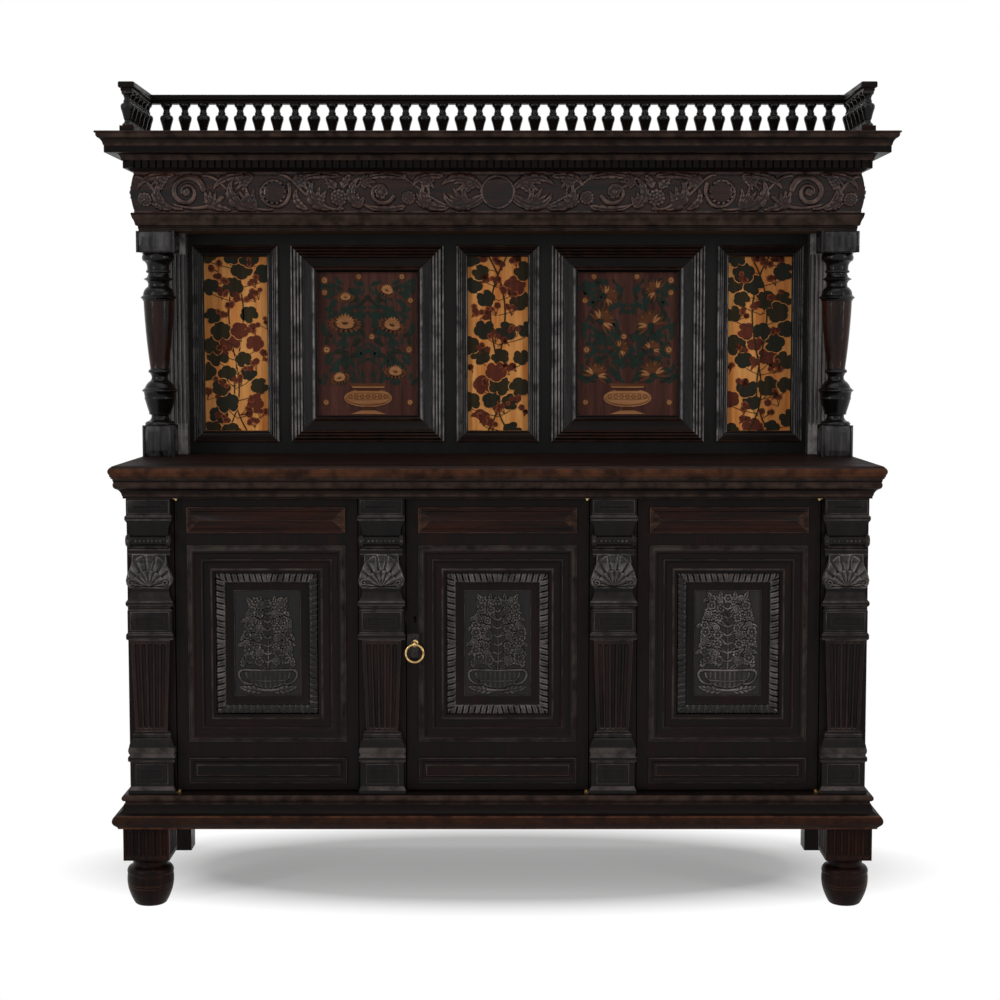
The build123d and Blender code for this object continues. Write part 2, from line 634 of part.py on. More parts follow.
def small_panels():
    """Applied panels on the top rail, hipped at its ends, and on the bottom rail."""
    panels = []
    width = FIELD_WIDTH
    for z0, rise, slope in ((DOOR_TOP - SMALL_PANEL_TOP_MARGIN - SMALL_PANEL_HEIGHT, 7, 64),
                            (DOOR_BOTTOM + SMALL_PANEL_BOTTOM_MARGIN, 4, 45)):
        centre = z0 + SMALL_PANEL_HEIGHT / 2
        edge = block(-width / 2, width / 2, Y_DOOR - 5, Y_DOOR, z0, z0 + SMALL_PANEL_HEIGHT)
        edge -= block(-width / 2 + 7, width / 2 - 7, Y_DOOR - 6, Y_DOOR - 2, z0 + 7,
                      z0 + SMALL_PANEL_HEIGHT - 7)
        field = raised_field(0, centre, width - 22, SMALL_PANEL_HEIGHT - 22, Y_DOOR - 2, rise, slope)
        panels.append((edge + field).solid())
    return panels


def pivot_plate(z0, z1):
    """A plate with an eye standing forward of the door's face, hinge side at +X."""
    x = OPENING_WIDTH / 2 - PIVOT_EDGE
    eye = Pos(x, Y_PIVOT, (z0 + z1) / 2) * Cylinder(PIVOT_EYE_RADIUS, z1 - z0)
    arm = block(x - PIVOT_EYE_RADIUS, DOOR_HALF, Y_PIVOT, Y_PIVOT + PIVOT_PLATE_REACH, z0, z1)
    limb = block(x - PIVOT_EYE_RADIUS, x + PIVOT_EYE_RADIUS, Y_PIVOT, Y_DOOR, z0, z1)
    arm &= block(-LONG, LONG, Y_DOOR, LONG, z0, z1)
    return eye + arm + limb


def door_pivots():
    """Top and bottom plates of a door, each with its pin."""
    x = OPENING_WIDTH / 2 - PIVOT_EDGE
    plates = []
    for z0, pin_from, pin_to in ((DOOR_BOTTOM, Z_FLOOR, DOOR_BOTTOM),
                                 (DOOR_TOP - PIVOT_PLATE, DOOR_TOP, Z_CROWN)):
        pin = Pos(x, Y_PIVOT, (pin_from + pin_to) / 2) * Cylinder(PIVOT_RADIUS, pin_to - pin_from)
        plates.append((pivot_plate(z0, z0 + PIVOT_PLATE) + pin).solid())
    return plates


def pivot_sockets():
    """Plates on the rails, with the holes that the pins turn in, for a door on x = 0."""
    x = OPENING_WIDTH / 2 - PIVOT_EDGE
    sockets = []
    for z0 in (Z_FLOOR, Z_CROWN - PIVOT_PLATE):
        z1 = z0 + PIVOT_PLATE
        strip = block(x - PIVOT_EYE_RADIUS, x + PIVOT_EYE_RADIUS, Y_PIVOT - PIVOT_EYE_RADIUS,
                      Y_FRAME_BACK, z0, z1)
        hole = Pos(x, Y_PIVOT, (z0 + z1) / 2) * Cylinder(PIVOT_RADIUS + PIVOT_CLEARANCE, PIVOT_PLATE)
        sockets.append((strip - hole).solid())
    return sockets


def placed(shapes, side):
    """Door pieces moved to the left, centre or right opening. The left door is a mirror image."""
    if side == "left":
        return [mirrored(Pos(DOOR_CENTRE_X, 0, 0) * shape) for shape in shapes]
    offset = DOOR_CENTRE_X if side == "right" else 0
    return [Pos(offset, 0, 0) * shape for shape in shapes]


# ---------------------------------------------------------------- lock, pull and bolts
HANDLE_X = FREE_EDGE_X + HANDLE_INSET
Y_RING = Y_DOOR - RING_FORWARD
RING_EYE_RADIUS = RING_WIRE_RADIUS + RING_EYE_CLEARANCE
BOSS_RADIUS = RING_EYE_RADIUS + BOSS_WALL
RING_TOP_HEIGHT = KEYHOLE_HEIGHT - RING_DROP
LOCK_Z0 = KEYHOLE_HEIGHT - LOCK_HEIGHT / 2


def lock_space():
    return block(FREE_EDGE_X, FREE_EDGE_X + LOCK_WIDTH, Y_DOOR_BACK - LOCK_DEPTH, Y_DOOR_BACK, LOCK_Z0,
                 LOCK_Z0 + LOCK_HEIGHT)


def keyhole():
    """A round with a slot below it, through the door and the lock."""
    reach = 2 * DOOR_THICKNESS
    top = KEYHOLE_HEIGHT + KEY_RISE
    half = KEY_BIT_WIDTH / 2
    bore = Pos(HANDLE_X, Y_DOOR, top) * Rot(90, 0, 0) * Cylinder(KEY_RADIUS, 2 * reach)
    slot = block(HANDLE_X - half, HANDLE_X + half, Y_DOOR - reach, Y_DOOR + reach,
                 KEYHOLE_HEIGHT - KEY_BIT_DROP, top)
    return bore + slot


def centre_door_frame():
    """The centre door's frame, cut for its lock and key."""
    frame = door_frame()
    frame[1] = (frame[1] - lock_space() - keyhole()).solid()
    return frame


def bolt_channel(room, reach=0):
    """The space of the lock bolt at rest, grown by a clearance and a reach past the door's edge."""
    half_height = LOCK_BOLT_HEIGHT / 2 + room
    return block(FREE_EDGE_X + 1 - room - reach, FREE_EDGE_X + LOCK_WIDTH - 10 + room, LOCK_BOLT_Y - room,
                 LOCK_BOLT_Y + LOCK_BOLT_THICKNESS + room, KEYHOLE_HEIGHT - half_height,
                 KEYHOLE_HEIGHT + half_height)


def lock_case():
    """The cut-in lock's case. The bolt slides out through its front edge."""
    inner = lock_space()
    hollow = block(FREE_EDGE_X + LOCK_PLATE, FREE_EDGE_X + LOCK_WIDTH - LOCK_PLATE,
                   Y_DOOR_BACK - LOCK_DEPTH + LOCK_PLATE, Y_DOOR_BACK - LOCK_PLATE,
                   LOCK_Z0 + LOCK_PLATE, LOCK_Z0 + LOCK_HEIGHT - LOCK_PLATE)
    channel = bolt_channel(LOCK_BOLT_CLEARANCE, LOCK_THROW)
    return [(inner - hollow - channel - keyhole()).solid()]


def lock_bolt():
    """A flat bolt, notched clear of the keyhole."""
    bolt = bolt_channel(0)
    room = KEY_RADIUS + 2
    notch = block(HANDLE_X - room, HANDLE_X + room + LOCK_THROW, LOCK_BOLT_Y - 1,
                  LOCK_BOLT_Y + LOCK_BOLT_THICKNESS + 1, KEYHOLE_HEIGHT - LOCK_BOLT_HEIGHT,
                  KEYHOLE_HEIGHT + KEY_RISE + room)
    return [(bolt - notch).solid()]


def strike_plate():
    """A thin plate let into the muntin, with the bolt's slot."""
    return [(strike_recess() - bolt_mortise()).solid()]


def pull_plate():
    """Backplate with the pierced boss that carries the ring."""
    z = RING_TOP_HEIGHT
    plate = block(FREE_EDGE_X, -FIELD_WIDTH / 2, Y_DOOR - PULL_PLATE_THICKNESS, Y_DOOR,
                  z - 0.6 * PULL_PLATE_HEIGHT, z + 0.4 * PULL_PLATE_HEIGHT)
    stem = Pos(HANDLE_X, Y_DOOR - RING_FORWARD / 2, z) * Rot(90, 0, 0) * Cylinder(STEM_RADIUS, RING_FORWARD)
    boss = Pos(HANDLE_X, Y_RING, z) * Rot(0, 90, 0) * Cylinder(BOSS_RADIUS, BOSS_WIDTH)
    eye = Pos(HANDLE_X, Y_RING, z) * Rot(0, 90, 0) * Cylinder(RING_EYE_RADIUS, 2 * BOSS_WIDTH)
    return [(plate + stem + boss - eye).solid()]


def ring_pull():
    """A ring of eight-sided wire, hanging through the boss."""
    wire = Pos(RING_RADIUS, 0) * RegularPolygon(RING_WIRE_RADIUS, 8)
    ring = Rot(90, 0, 0) * revolve(Plane.XZ * wire, axis=Axis.Z)
    return [Pos(HANDLE_X, Y_RING, RING_TOP_HEIGHT - RING_RADIUS) * ring]


FLUSH_BOLT_X = FREE_EDGE_X + FLUSH_BOLT_EDGE
FLUSH_BOLT_Y = Y_FRAME_BACK + FLUSH_BOLT_RADIUS + 2
GUIDE_RADIUS = FLUSH_BOLT_RADIUS + FLUSH_BOLT_CLEARANCE


def flush_bolt():
    """A round bolt with a thumb knob, which slides up behind the top rail."""
    top = DOOR_TOP - FLUSH_BOLT_REST
    rod = Pos(FLUSH_BOLT_X, FLUSH_BOLT_Y, top - FLUSH_BOLT_LENGTH / 2)
    rod = rod * Cylinder(FLUSH_BOLT_RADIUS, FLUSH_BOLT_LENGTH)
    knob = Pos(FLUSH_BOLT_X, FLUSH_BOLT_Y + BOLT_KNOB_LENGTH / 2, top - FLUSH_BOLT_LENGTH / 2)
    knob = knob * Rot(90, 0, 0) * Cylinder(BOLT_KNOB_RADIUS, BOLT_KNOB_LENGTH)
    return [(rod + knob).solid()]


def bolt_guides():
    """Two pierced guides screwed to the door's back."""
    top = DOOR_TOP - FLUSH_BOLT_REST
    guides = []
    for z in (top - BOLT_GUIDE_INSET, top - FLUSH_BOLT_LENGTH + BOLT_GUIDE_INSET):
        half = GUIDE_RADIUS + BOLT_GUIDE_WALL
        body = block(FLUSH_BOLT_X - half, FLUSH_BOLT_X + half, Y_DOOR_BACK, FLUSH_BOLT_Y + half,
                     z - BOLT_GUIDE_HEIGHT / 2, z + BOLT_GUIDE_HEIGHT / 2)
        guides.append((body - Pos(FLUSH_BOLT_X, FLUSH_BOLT_Y, z)
                       * Cylinder(GUIDE_RADIUS, BOLT_GUIDE_HEIGHT)).solid())
    return guides


# ---------------------------------------------------------------- upper stage
def fielded_block(width, height):
    """A square block with a flat-topped pyramid on each of its four faces."""
    rise = BLOCK_FIELD_RISE
    core_width = width - 2 * rise
    core = Pos(0, 0, height / 2) * Box(core_width, core_width, height)
    face = raised_field(0, height / 2, core_width, height, -core_width / 2, rise, 55)
    for quarter in range(4):
        core += Rot(0, 0, 90 * quarter) * face
    return core


def column():
    """A turned vase column between two square blocks, with its axis at x = y = 0."""
    low = Z_TOP + COLUMN_WIDTH
    high = Z_SOFFIT - UPPER_BLOCK_HEIGHT
    turned = section((0, low), (34, low), (19.5, low + 18), (24.5, low + 26), (33, low + 56),
                     (35.5, low + 73), (40, low + 77), (34.5, low + 83), (19, low + 102),
                     (24.5, low + 120), (20.5, low + 127), ((27.4, low + 188), (33.5, high - 106)),
                     (40, high - 98), (33.5, high - 89), (22.5, high - 69), (32.5, high - 57),
                     (22.5, high - 48), (27, high - 41), (24.5, high - 35), (34.5, high - 10),
                     (34, high), (0, high))
    shaft = revolve(Plane.XZ * turned, axis=Axis.Z)
    lower = Pos(0, 0, Z_TOP) * fielded_block(COLUMN_WIDTH, COLUMN_WIDTH)
    upper = Pos(0, 0, high) * fielded_block(UPPER_BLOCK_WIDTH, UPPER_BLOCK_HEIGHT)
    return (shaft + lower + upper).solid()


def columns():
    return both_sides([Pos(COLUMN_CENTRE_X, Y_STAGE + COLUMN_WIDTH / 2, 0) * column()])


NARROW_X1 = POST_OUTER_X - POST_WIDTH - 33
NARROW_X0 = NARROW_X1 - NARROW_PANEL_WIDTH
CENTRE_HALF = CENTRE_PANEL_WIDTH / 2
LARGE_HALF = LARGE_SIGHT_WIDTH / 2 + LARGE_MOULDING_WIDTH / 2
LARGE_X0 = LARGE_PANEL_CENTRE_X - LARGE_HALF
LARGE_X1 = LARGE_PANEL_CENTRE_X + LARGE_HALF
SIGHT_Z0 = Z_TOP + BACK_BOTTOM_RAIL
SIGHT_Z1 = Z_SOFFIT - BACK_TOP_RAIL


def back_frame():
    """Posts, rails and stiles of the upper back."""
    y0 = Y_BACK_FRAME
    y1 = Y_BACK_FRAME + BACK_FRAME_THICKNESS
    inner = POST_OUTER_X - POST_WIDTH
    pieces = both_sides([block(inner, POST_OUTER_X, y0, Y_BACK, Z_TOP, Z_SOFFIT)])
    pieces += [block(-inner, inner, y0, y1, Z_TOP, SIGHT_Z0),
               block(-inner, inner, y0, y1, SIGHT_Z1, Z_SOFFIT)]
    for x0, x1 in ((NARROW_X1, inner), (LARGE_X1, NARROW_X0), (CENTRE_HALF, LARGE_X0)):
        pieces += both_sides([block(x0, x1, y0, y1, SIGHT_Z0, SIGHT_Z1)])
    return pieces


def back_panel(x0, x1):
    front = Y_BACK_FRAME + BACK_PANEL_SINK
    return block(x0, x1, front, front + BACK_PANEL_THICKNESS, SIGHT_Z0, SIGHT_Z1)


def narrow_panels():
    return [*both_sides([back_panel(NARROW_X0, NARROW_X1)]), back_panel(-CENTRE_HALF, CENTRE_HALF)]


def large_panels():
    return both_sides([back_panel(LARGE_X0, LARGE_X1)])


def narrow_panel_mouldings():
    """Mitred mouldings on the frame, round the three narrow panels."""
    w = NARROW_MOULDING_WIDTH
    outline = section((0, 0), (0, 7), (3, 10), (8, 10), (13, 6), (w - 4, 3), (w, 3), (w, 0))
    z0 = SIGHT_Z0 - w
    z1 = SIGHT_Z1 + w
    outer = framed_moulding(outline, w, NARROW_X0 - w, NARROW_X1 + w, z0, z1, Y_BACK_FRAME)
    centre = framed_moulding(outline, w, -CENTRE_HALF - w, CENTRE_HALF + w, z0, z1, Y_BACK_FRAME)
    return both_sides(outer) + centre


def large_panel_mouldings():
    """Reeded bolection mouldings, half on the frame and half over the large panels."""
    w = LARGE_MOULDING_WIDTH
    half = w / 2
    sink = BACK_PANEL_SINK
    outline = section((0, 0), (0, 6), (3, 9), (8, 7), (12, 11), (17, 9), (21, 12), (25, 7),
                      (w - 12, 4), (w - 9, 8), (w - 4, 6), (w, -sink), (half, -sink), (half, 0))
    x0 = LARGE_X0 - half
    x1 = LARGE_X1 + half
    z0 = SIGHT_Z0 - NARROW_MOULDING_WIDTH
    z1 = SIGHT_Z1 + NARROW_MOULDING_WIDTH
    return both_sides(framed_moulding(outline, w, x0, x1, z0, z1, Y_BACK_FRAME))


def back_responds():
    """Reeded half-posts against the wall frame, behind the columns."""
    y0 = Y_BACK_FRAME - RESPOND_THICKNESS
    x0 = POST_OUTER_X - POST_WIDTH + RESPOND_REVEAL
    shaft = block(x0, POST_OUTER_X, y0, Y_BACK_FRAME, Z_TOP, Z_SOFFIT)
    shaft -= grooves((x0 + POST_OUTER_X) / 2, Z_TOP + COLUMN_WIDTH, Z_SOFFIT - BACK_TOP_RAIL / 2, y0,
                     RESPOND_GROOVES, RESPOND_PITCH, RESPOND_GROOVE, RESPOND_DEPTH)
    return both_sides([shaft.solid()])


# ---------------------------------------------------------------- entablature
def cornice_box():
    """Six plain boards that carry the mouldings of the entablature."""
    half = STAGE_HALF
    t = BOX_THICKNESS
    y0 = Y_STAGE
    inner_front = y0 + t
    inner_back = Y_BACK - t
    return [block(-half, half, y0, inner_front, Z_SOFFIT, Z_GALLERY),
            block(-half, half, inner_back, Y_BACK, Z_SOFFIT, Z_GALLERY),
            block(half - t, half, inner_front, inner_back, Z_SOFFIT, Z_GALLERY),
            block(-half, -half + t, inner_front, inner_back, Z_SOFFIT, Z_GALLERY),
            block(-half + t, half - t, inner_front, inner_back, Z_SOFFIT, Z_SOFFIT + BOARD_THICKNESS),
            block(-half + t, half - t, inner_front, inner_back, Z_GALLERY - BOARD_THICKNESS, Z_GALLERY)]


def stage_moulding(outline, reach):
    return wrapped_moulding(outline, STAGE_HALF, Y_STAGE, Y_BACK, reach)


def architrave():
    p = ARCHITRAVE_PROJECTION
    z = Z_SOFFIT
    outline = section((0, z), (2, z), (2, z + 10), (0.5 * p, z + 12),
                      ((0.66 * p, z + 23), (0.95 * p, z + 33)), (p, z + 34), (p, Z_FRIEZE), (0, Z_FRIEZE))
    return stage_moulding(outline, p)


def frieze():
    """The swelling frieze that carries the carving."""
    p = FRIEZE_PROJECTION
    z = Z_FRIEZE
    outline = section((0, z), (0.6 * p, z), ((p, z + 0.6 * FRIEZE_HEIGHT), (0.6 * p, Z_DENTILS)),
                      (0, Z_DENTILS))
    return stage_moulding(outline, p)


def dentil_course():
    """A plain band with a row of dentils below the cornice, on three sides."""
    z = Z_DENTILS
    band = section((0, z), (DENTIL_FOOT, z), (DENTIL_BACKING, Z_CORNICE - DENTIL_HEIGHT),
                   (DENTIL_BACKING, Z_CORNICE), (0, Z_CORNICE))
    front, right, left = stage_moulding(band, DENTIL_BACKING)
    z0 = Z_CORNICE - DENTIL_HEIGHT
    width = DENTIL_PITCH - DENTIL_GAP
    along = int((STAGE_HALF + DENTIL_BACKING) / DENTIL_PITCH - 0.5)
    teeth = [block(index * DENTIL_PITCH - width / 2, index * DENTIL_PITCH + width / 2,
                   Y_STAGE - DENTIL_PROJECTION, Y_STAGE - DENTIL_BACKING, z0, Z_CORNICE)
             for index in range(-along, along + 1)]
    count = int((Y_BACK - Y_STAGE + DENTIL_BACKING) / DENTIL_PITCH)
    side_teeth = []
    for index in range(count):
        y0 = Y_STAGE - DENTIL_BACKING + 2 + index * DENTIL_PITCH
        side_teeth.append(block(STAGE_HALF + DENTIL_BACKING, STAGE_HALF + DENTIL_PROJECTION,
                                y0, y0 + width, z0, Z_CORNICE))
    left_teeth = [mirrored(tooth) for tooth in side_teeth]
    return [(front + teeth).solid(), (right + side_teeth).solid(), (left + left_teeth).solid()]


def cornice():
    p = CORNICE_PROJECTION
    z = Z_CORNICE
    outline = section((0, z), (DENTIL_PROJECTION + 1, z), (DENTIL_PROJECTION + 2, z + 5),
                      ((DENTIL_PROJECTION + 4, z + 10), (0.5 * p, z + 14)), (0.78 * p, z + 14),
                      (0.78 * p, z + 29), ((0.82 * p, z + 38), (0.9 * p, z + 45)),
                      (0.96 * p, z + 54), (p, z + 55), (p, Z_GALLERY), (0, Z_GALLERY))
    return stage_moulding(outline, p)


# ---------------------------------------------------------------- gallery
GALLERY_HALF = GALLERY_WIDTH / 2
Y_GALLERY = Y_FRONT + GALLERY_FRONT_SETBACK


def gallery_rails(z0, z1, inset):
    """A back rail and two returns, lapped at the corners."""
    outer = GALLERY_HALF - inset
    inner = GALLERY_HALF - GALLERY_RAIL_WIDTH + inset
    y_rail = Y_BACK - GALLERY_RAIL_WIDTH + inset
    back = block(-outer, outer, y_rail, Y_BACK - inset, z0, z1)
    return [back, *both_sides([block(inner, outer, Y_GALLERY + inset, y_rail, z0, z1)])]


def gallery_base():
    return gallery_rails(Z_GALLERY, Z_BALUSTERS, 2)


def gallery_cap():
    """The top rails, each with a moulded lower edge."""
    step = Z_CAP + 0.35 * GALLERY_CAP_HEIGHT
    lower = gallery_rails(Z_CAP, step, 5)
    upper = gallery_rails(step, Z_CAP + GALLERY_CAP_HEIGHT, 0)
    return [(low + high).solid() for low, high in zip(lower, upper)]


def baluster():
    """A turned baluster with few flats, standing on z = 0."""
    stations = ((0.0, 10.0), (0.28, 6.2), (0.57, 14.6), (1.0, 5.6))
    rings = [Pos(0, 0, share * BALUSTER_HEIGHT) * RegularPolygon(radius, 6)
             for share, radius in stations]
    return loft(rings, ruled=True)


def gallery_balusters():
    """Balusters along the back rail, at its corners and along both returns."""
    centre_x = GALLERY_HALF - GALLERY_RAIL_WIDTH / 2
    back_y = Y_BACK - GALLERY_RAIL_WIDTH / 2
    front_y = Y_GALLERY + GALLERY_RAIL_WIDTH / 2
    pitch = 2 * (centre_x - CORNER_BAY) / (BACK_BALUSTERS - 1)
    spots = [(CORNER_BAY - centre_x + index * pitch, back_y) for index in range(BACK_BALUSTERS)]
    for index in range(RETURN_BALUSTERS + 1):
        y = front_y + index * (back_y - front_y) / RETURN_BALUSTERS
        spots += [(-centre_x, y), (centre_x, y)]
    one = baluster()
    return [Pos(x, y, Z_BALUSTERS) * one for x, y in spots]


# ---------------------------------------------------------------- the whole object
def door_nodes(side):
    """Every node that belongs to one door."""
    frame = centre_door_frame() if side == "centre" else door_frame()
    nodes = {f"{side}_door_frame": frame,
             f"{side}_door_moulding": field_moulding(),
             f"{side}_door_carved_frame": carved_frame(),
             f"{side}_door_carved_panel": carved_panel(),
             f"{side}_door_small_panels": small_panels(),
             f"{side}_door_pivots": door_pivots()}
    if side != "centre":
        nodes[f"{side}_bolt"] = flush_bolt()
        nodes[f"{side}_bolt_guides"] = bolt_guides()
    return {name: placed(shapes, side) for name, shapes in nodes.items()}


def all_nodes():
    side_right = side_frame()
    nodes = {
        "front_feet": front_feet(),
        "rear_feet": rear_feet(),
        "base_moulding": base_moulding(),
        "front_rails": front_rails(),
        "front_stiles": front_stiles(),
        "right_side_frame": side_right,
        "left_side_frame": [mirrored(piece) for piece in side_right],
        "side_panels": side_panels(),
        "carcase_bottom": carcase_bottom(),
        "lower_back_boards": back_boards(),
        "shelf": shelf(),
        "shelf_cleats": shelf_cleats(),
        "crown_moulding": crown_moulding(),
        "sideboard_top": sideboard_top(),
        "corner_pilasters": pilaster_pair(HALF - PILASTER_WIDTH / 2),
        "centre_pilasters": pilaster_pair(MUNTIN_INNER_X + PILASTER_WIDTH / 2),
        "pivot_sockets": [piece for side in ("left", "centre", "right")
                          for piece in placed(pivot_sockets(), side)],
        "strike_plate": strike_plate(),
        "lock_case": lock_case(),
        "lock_bolt": lock_bolt(),
        "pull_plate": pull_plate(),
        "ring_pull": ring_pull(),
        "columns": columns(),
        "upper_back_frame": back_frame(),
        "narrow_panels": narrow_panels(),
        "large_panels": large_panels(),
        "narrow_panel_mouldings": narrow_panel_mouldings(),
        "large_panel_mouldings": large_panel_mouldings(),
        "back_responds": back_responds(),
        "cornice_box": cornice_box(),
        "architrave_moulding": architrave(),
        "frieze": frieze(),
        "dentil_course": dentil_course(),
        "cornice_moulding": cornice(),
        "gallery_base_rails": gallery_base(),
        "gallery_balusters": gallery_balusters(),
        "gallery_cap_rails": gallery_cap(),
    }
    for side in ("left", "centre", "right"):
        nodes.update(door_nodes(side))
    return nodes


def main():
    os.makedirs("parts", exist_ok=True)
    for name, shapes in all_nodes().items():
        node = shapes[0] if len(shapes) == 1 else Compound(children=list(shapes))
        export_step(node, f"parts/{name}.step")


main()
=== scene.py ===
"""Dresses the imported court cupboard: mouldings, turnings, carving, inlay, brass and a plain studio.

Lengths are millimetres in the row frame until piece() turns them into metres.
"""
import math

import bmesh
import bpy
import numpy as np
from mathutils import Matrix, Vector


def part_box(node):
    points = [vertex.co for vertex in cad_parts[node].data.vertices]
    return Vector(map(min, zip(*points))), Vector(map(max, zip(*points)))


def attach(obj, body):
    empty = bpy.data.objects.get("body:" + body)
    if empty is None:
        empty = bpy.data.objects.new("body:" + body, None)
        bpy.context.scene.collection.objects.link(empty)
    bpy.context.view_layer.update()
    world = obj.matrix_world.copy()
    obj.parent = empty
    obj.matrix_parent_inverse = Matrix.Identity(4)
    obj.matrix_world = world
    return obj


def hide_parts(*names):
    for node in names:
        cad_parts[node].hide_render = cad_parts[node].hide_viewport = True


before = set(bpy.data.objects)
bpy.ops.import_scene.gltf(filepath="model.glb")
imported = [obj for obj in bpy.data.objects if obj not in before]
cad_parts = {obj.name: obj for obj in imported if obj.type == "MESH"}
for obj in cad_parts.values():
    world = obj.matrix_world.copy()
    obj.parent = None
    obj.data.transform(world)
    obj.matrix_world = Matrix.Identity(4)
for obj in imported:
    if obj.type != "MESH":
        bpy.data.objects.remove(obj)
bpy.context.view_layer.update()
MM = 0.001
TAU = 2 * math.pi


def box(node):
    """Lowest and highest corner of a CAD node, in millimetres."""
    low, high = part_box(node)
    return np.array(low) / MM, np.array(high) / MM


# ---- levels read from the frame
FEET_LOW, FEET_HIGH = box("front_feet")
REAR_LOW, REAR_HIGH = box("rear_feet")
BASE_LOW, BASE_HIGH = box("base_moulding")
STILES_LOW, STILES_HIGH = box("front_stiles")
CROWN_LOW, CROWN_HIGH = box("crown_moulding")
TOP_LOW, TOP_HIGH = box("sideboard_top")
RAIL_LOW, RAIL_HIGH = box("front_rails")
ARCH_LOW, ARCH_HIGH = box("architrave_moulding")
FRIEZE_LOW, FRIEZE_HIGH = box("frieze")
DENTIL_HIGH = box("dentil_course")[1]
CORNICE_LOW, CORNICE_HIGH = box("cornice_moulding")
STAGE_LOW, STAGE_HIGH = box("cornice_box")
COLUMN_LOW, COLUMN_HIGH = box("columns")
BALUSTER_LOW, BALUSTER_HIGH = box("gallery_balusters")
CAP_LOW, CAP_HIGH = box("gallery_cap_rails")
HALF = RAIL_HIGH[0]
Y_FRONT = RAIL_LOW[1]
Y_BACK = REAR_HIGH[1]
Y_FRAME = STILES_LOW[1]
STAGE_HALF = STAGE_HIGH[0]
Y_STAGE = STAGE_LOW[1]
WALL_LOW, WALL_HIGH = box("narrow_panel_mouldings")
AMBER_LOW, AMBER_HIGH = box("narrow_panels")
DARK_LOW, DARK_HIGH = box("large_panels")
Y_WALL = box("upper_back_frame")[0][1]


# ---- sizes
SIDES = ("left", "centre", "right")
HANDS = (-1, 1)
TOP_JOINT_Y, JOINT_HALF, JOINT_DEPTH = 50.0, 0.25, 1.2
RAIL_WIDTH, CORNER_BAY = 35.0, 46.0
BACK_BALUSTERS, RETURN_BALUSTERS = 37, 5
BLOCK_WIDTH, UPPER_BLOCK_WIDTH, UPPER_BLOCK, FIELD_RISE = 70.0, 84.0, 47.0, 5.0
FOOT_WIDTH, FOOT_BLOCK_Z, BUN_RADIUS = 96.0, 102.0, 49.0
PILASTER_HALF, PILASTER_DEPTH = 49.0, 24.0
PILASTER_HEIGHT = STILES_HIGH[2] - STILES_LOW[2]
SHAFT, SHELL, ROLL_HEIGHT = (131.0, 324.0), (433.0, 504.0), 532.0
DOOR_MOULDING, LEAF_BAND, LEAF_SIGHT, SMALL_PANEL = 58.0, 20.0, 39.0, 54.0
BOUQUET_HALF, BOUQUET_HEIGHT, BOUQUET_STEP, PANEL_RELIEF = 68, 220, 0.8, 9.5
FRIEZE_HALF = 806
FRIEZE_HEIGHT = FRIEZE_HIGH[2] - FRIEZE_LOW[2]
FRIEZE_SUNK, FRIEZE_STEP, FRIEZE_SHARE = 3.0, 1.4, 0.62
NARROW_WIDTH, LARGE_WIDTH, RESPOND_WIDTH = 25.0, 60.0, 51.0
NARROW_HALF, CENTRE_HALF = 72.5, 69.0
NARROW_CENTRE = WALL_HIGH[0] - NARROW_WIDTH - NARROW_HALF
LARGE_INNER_X = 153
LARGE_CENTRE = (DARK_HIGH[0] + LARGE_INNER_X) / 2
LARGE_SIGHT_LOW = 1017.0
INLAY_LAYER, GROUND_LAYERS, BLOOM_LAYER = 0.03, 44, 3
LEAF_PITCH, LEAF_GAP = 33.0, 1.7
BOSS_HALF, PLATE_WIDTH, PLATE_THICK = 2.5, 25, 1.6
CAMERA_PLACE, CAMERA_TILT, CAMERA_LENS = (0.005, -4.275, 1.184), 85.39, 70.45
FLOOR_SIZE, FLOOR_NEAR, FLOOR_FAR, FLOOR_LIFT = 30.0, 0.62, 0.95, 0.28
FLOOR_SHAPE, FLOOR_SHIFT = (0.95, 2.4, 1.0), (0, -0.19, 0)
NARROW_FACE, SOFTEN_REACH, SOFTEN_PASSES, MERGE_REACH = 0.004, 0.002, 3, 0.00002
CRISP, SHARPEST = math.radians(38), math.radians(20)


# ---- outlines
def arc(start, through, end, count=7):
    """Points after start on the arc through three points."""
    (ax, ay), (bx, by), (cx, cy) = start, through, end
    d = 2 * (ax * (by - cy) + bx * (cy - ay) + cx * (ay - by))
    a2, b2, c2 = ax * ax + ay * ay, bx * bx + by * by, cx * cx + cy * cy
    ux = (a2 * (by - cy) + b2 * (cy - ay) + c2 * (ay - by)) / d
    uy = (a2 * (cx - bx) + b2 * (ax - cx) + c2 * (bx - ax)) / d
    first = math.atan2(ay - uy, ax - ux)
    middle = (math.atan2(by - uy, bx - ux) - first) % TAU
    sweep = (math.atan2(cy - uy, cx - ux) - first) % TAU
    if middle > sweep:
        sweep -= TAU
    radius = math.hypot(ax - ux, ay - uy)
    return [(ux + radius * math.cos(first + sweep * k / count),
             uy + radius * math.sin(first + sweep * k / count)) for k in range(1, count + 1)]


def outline(start, *steps):
    """An open outline. A step is a point, or a pair (through, end) for an arc."""
    points = [start]
    for step in steps:
        if isinstance(step[0], tuple):
            points += arc(points[-1], *step)
        else:
            points.append(step)
    return points


def drawn(reach, z, *steps):
    """An outline whose points are (share of the reach, height above z)."""
    def place(step):
        return tuple(map(place, step)) if isinstance(step[0], tuple) else (step[0] * reach, z + step[1])
    return outline(*map(place, steps))


def turned(u, v, angle):
    """A point, or arrays of them, turned about the origin by an angle in radians."""
    return u * math.cos(angle) - v * math.sin(angle), u * math.sin(angle) + v * math.cos(angle)


def circle(count):
    """Angles round a circle, without the last, which meets the first."""
    return np.linspace(0, TAU, count, endpoint=False)


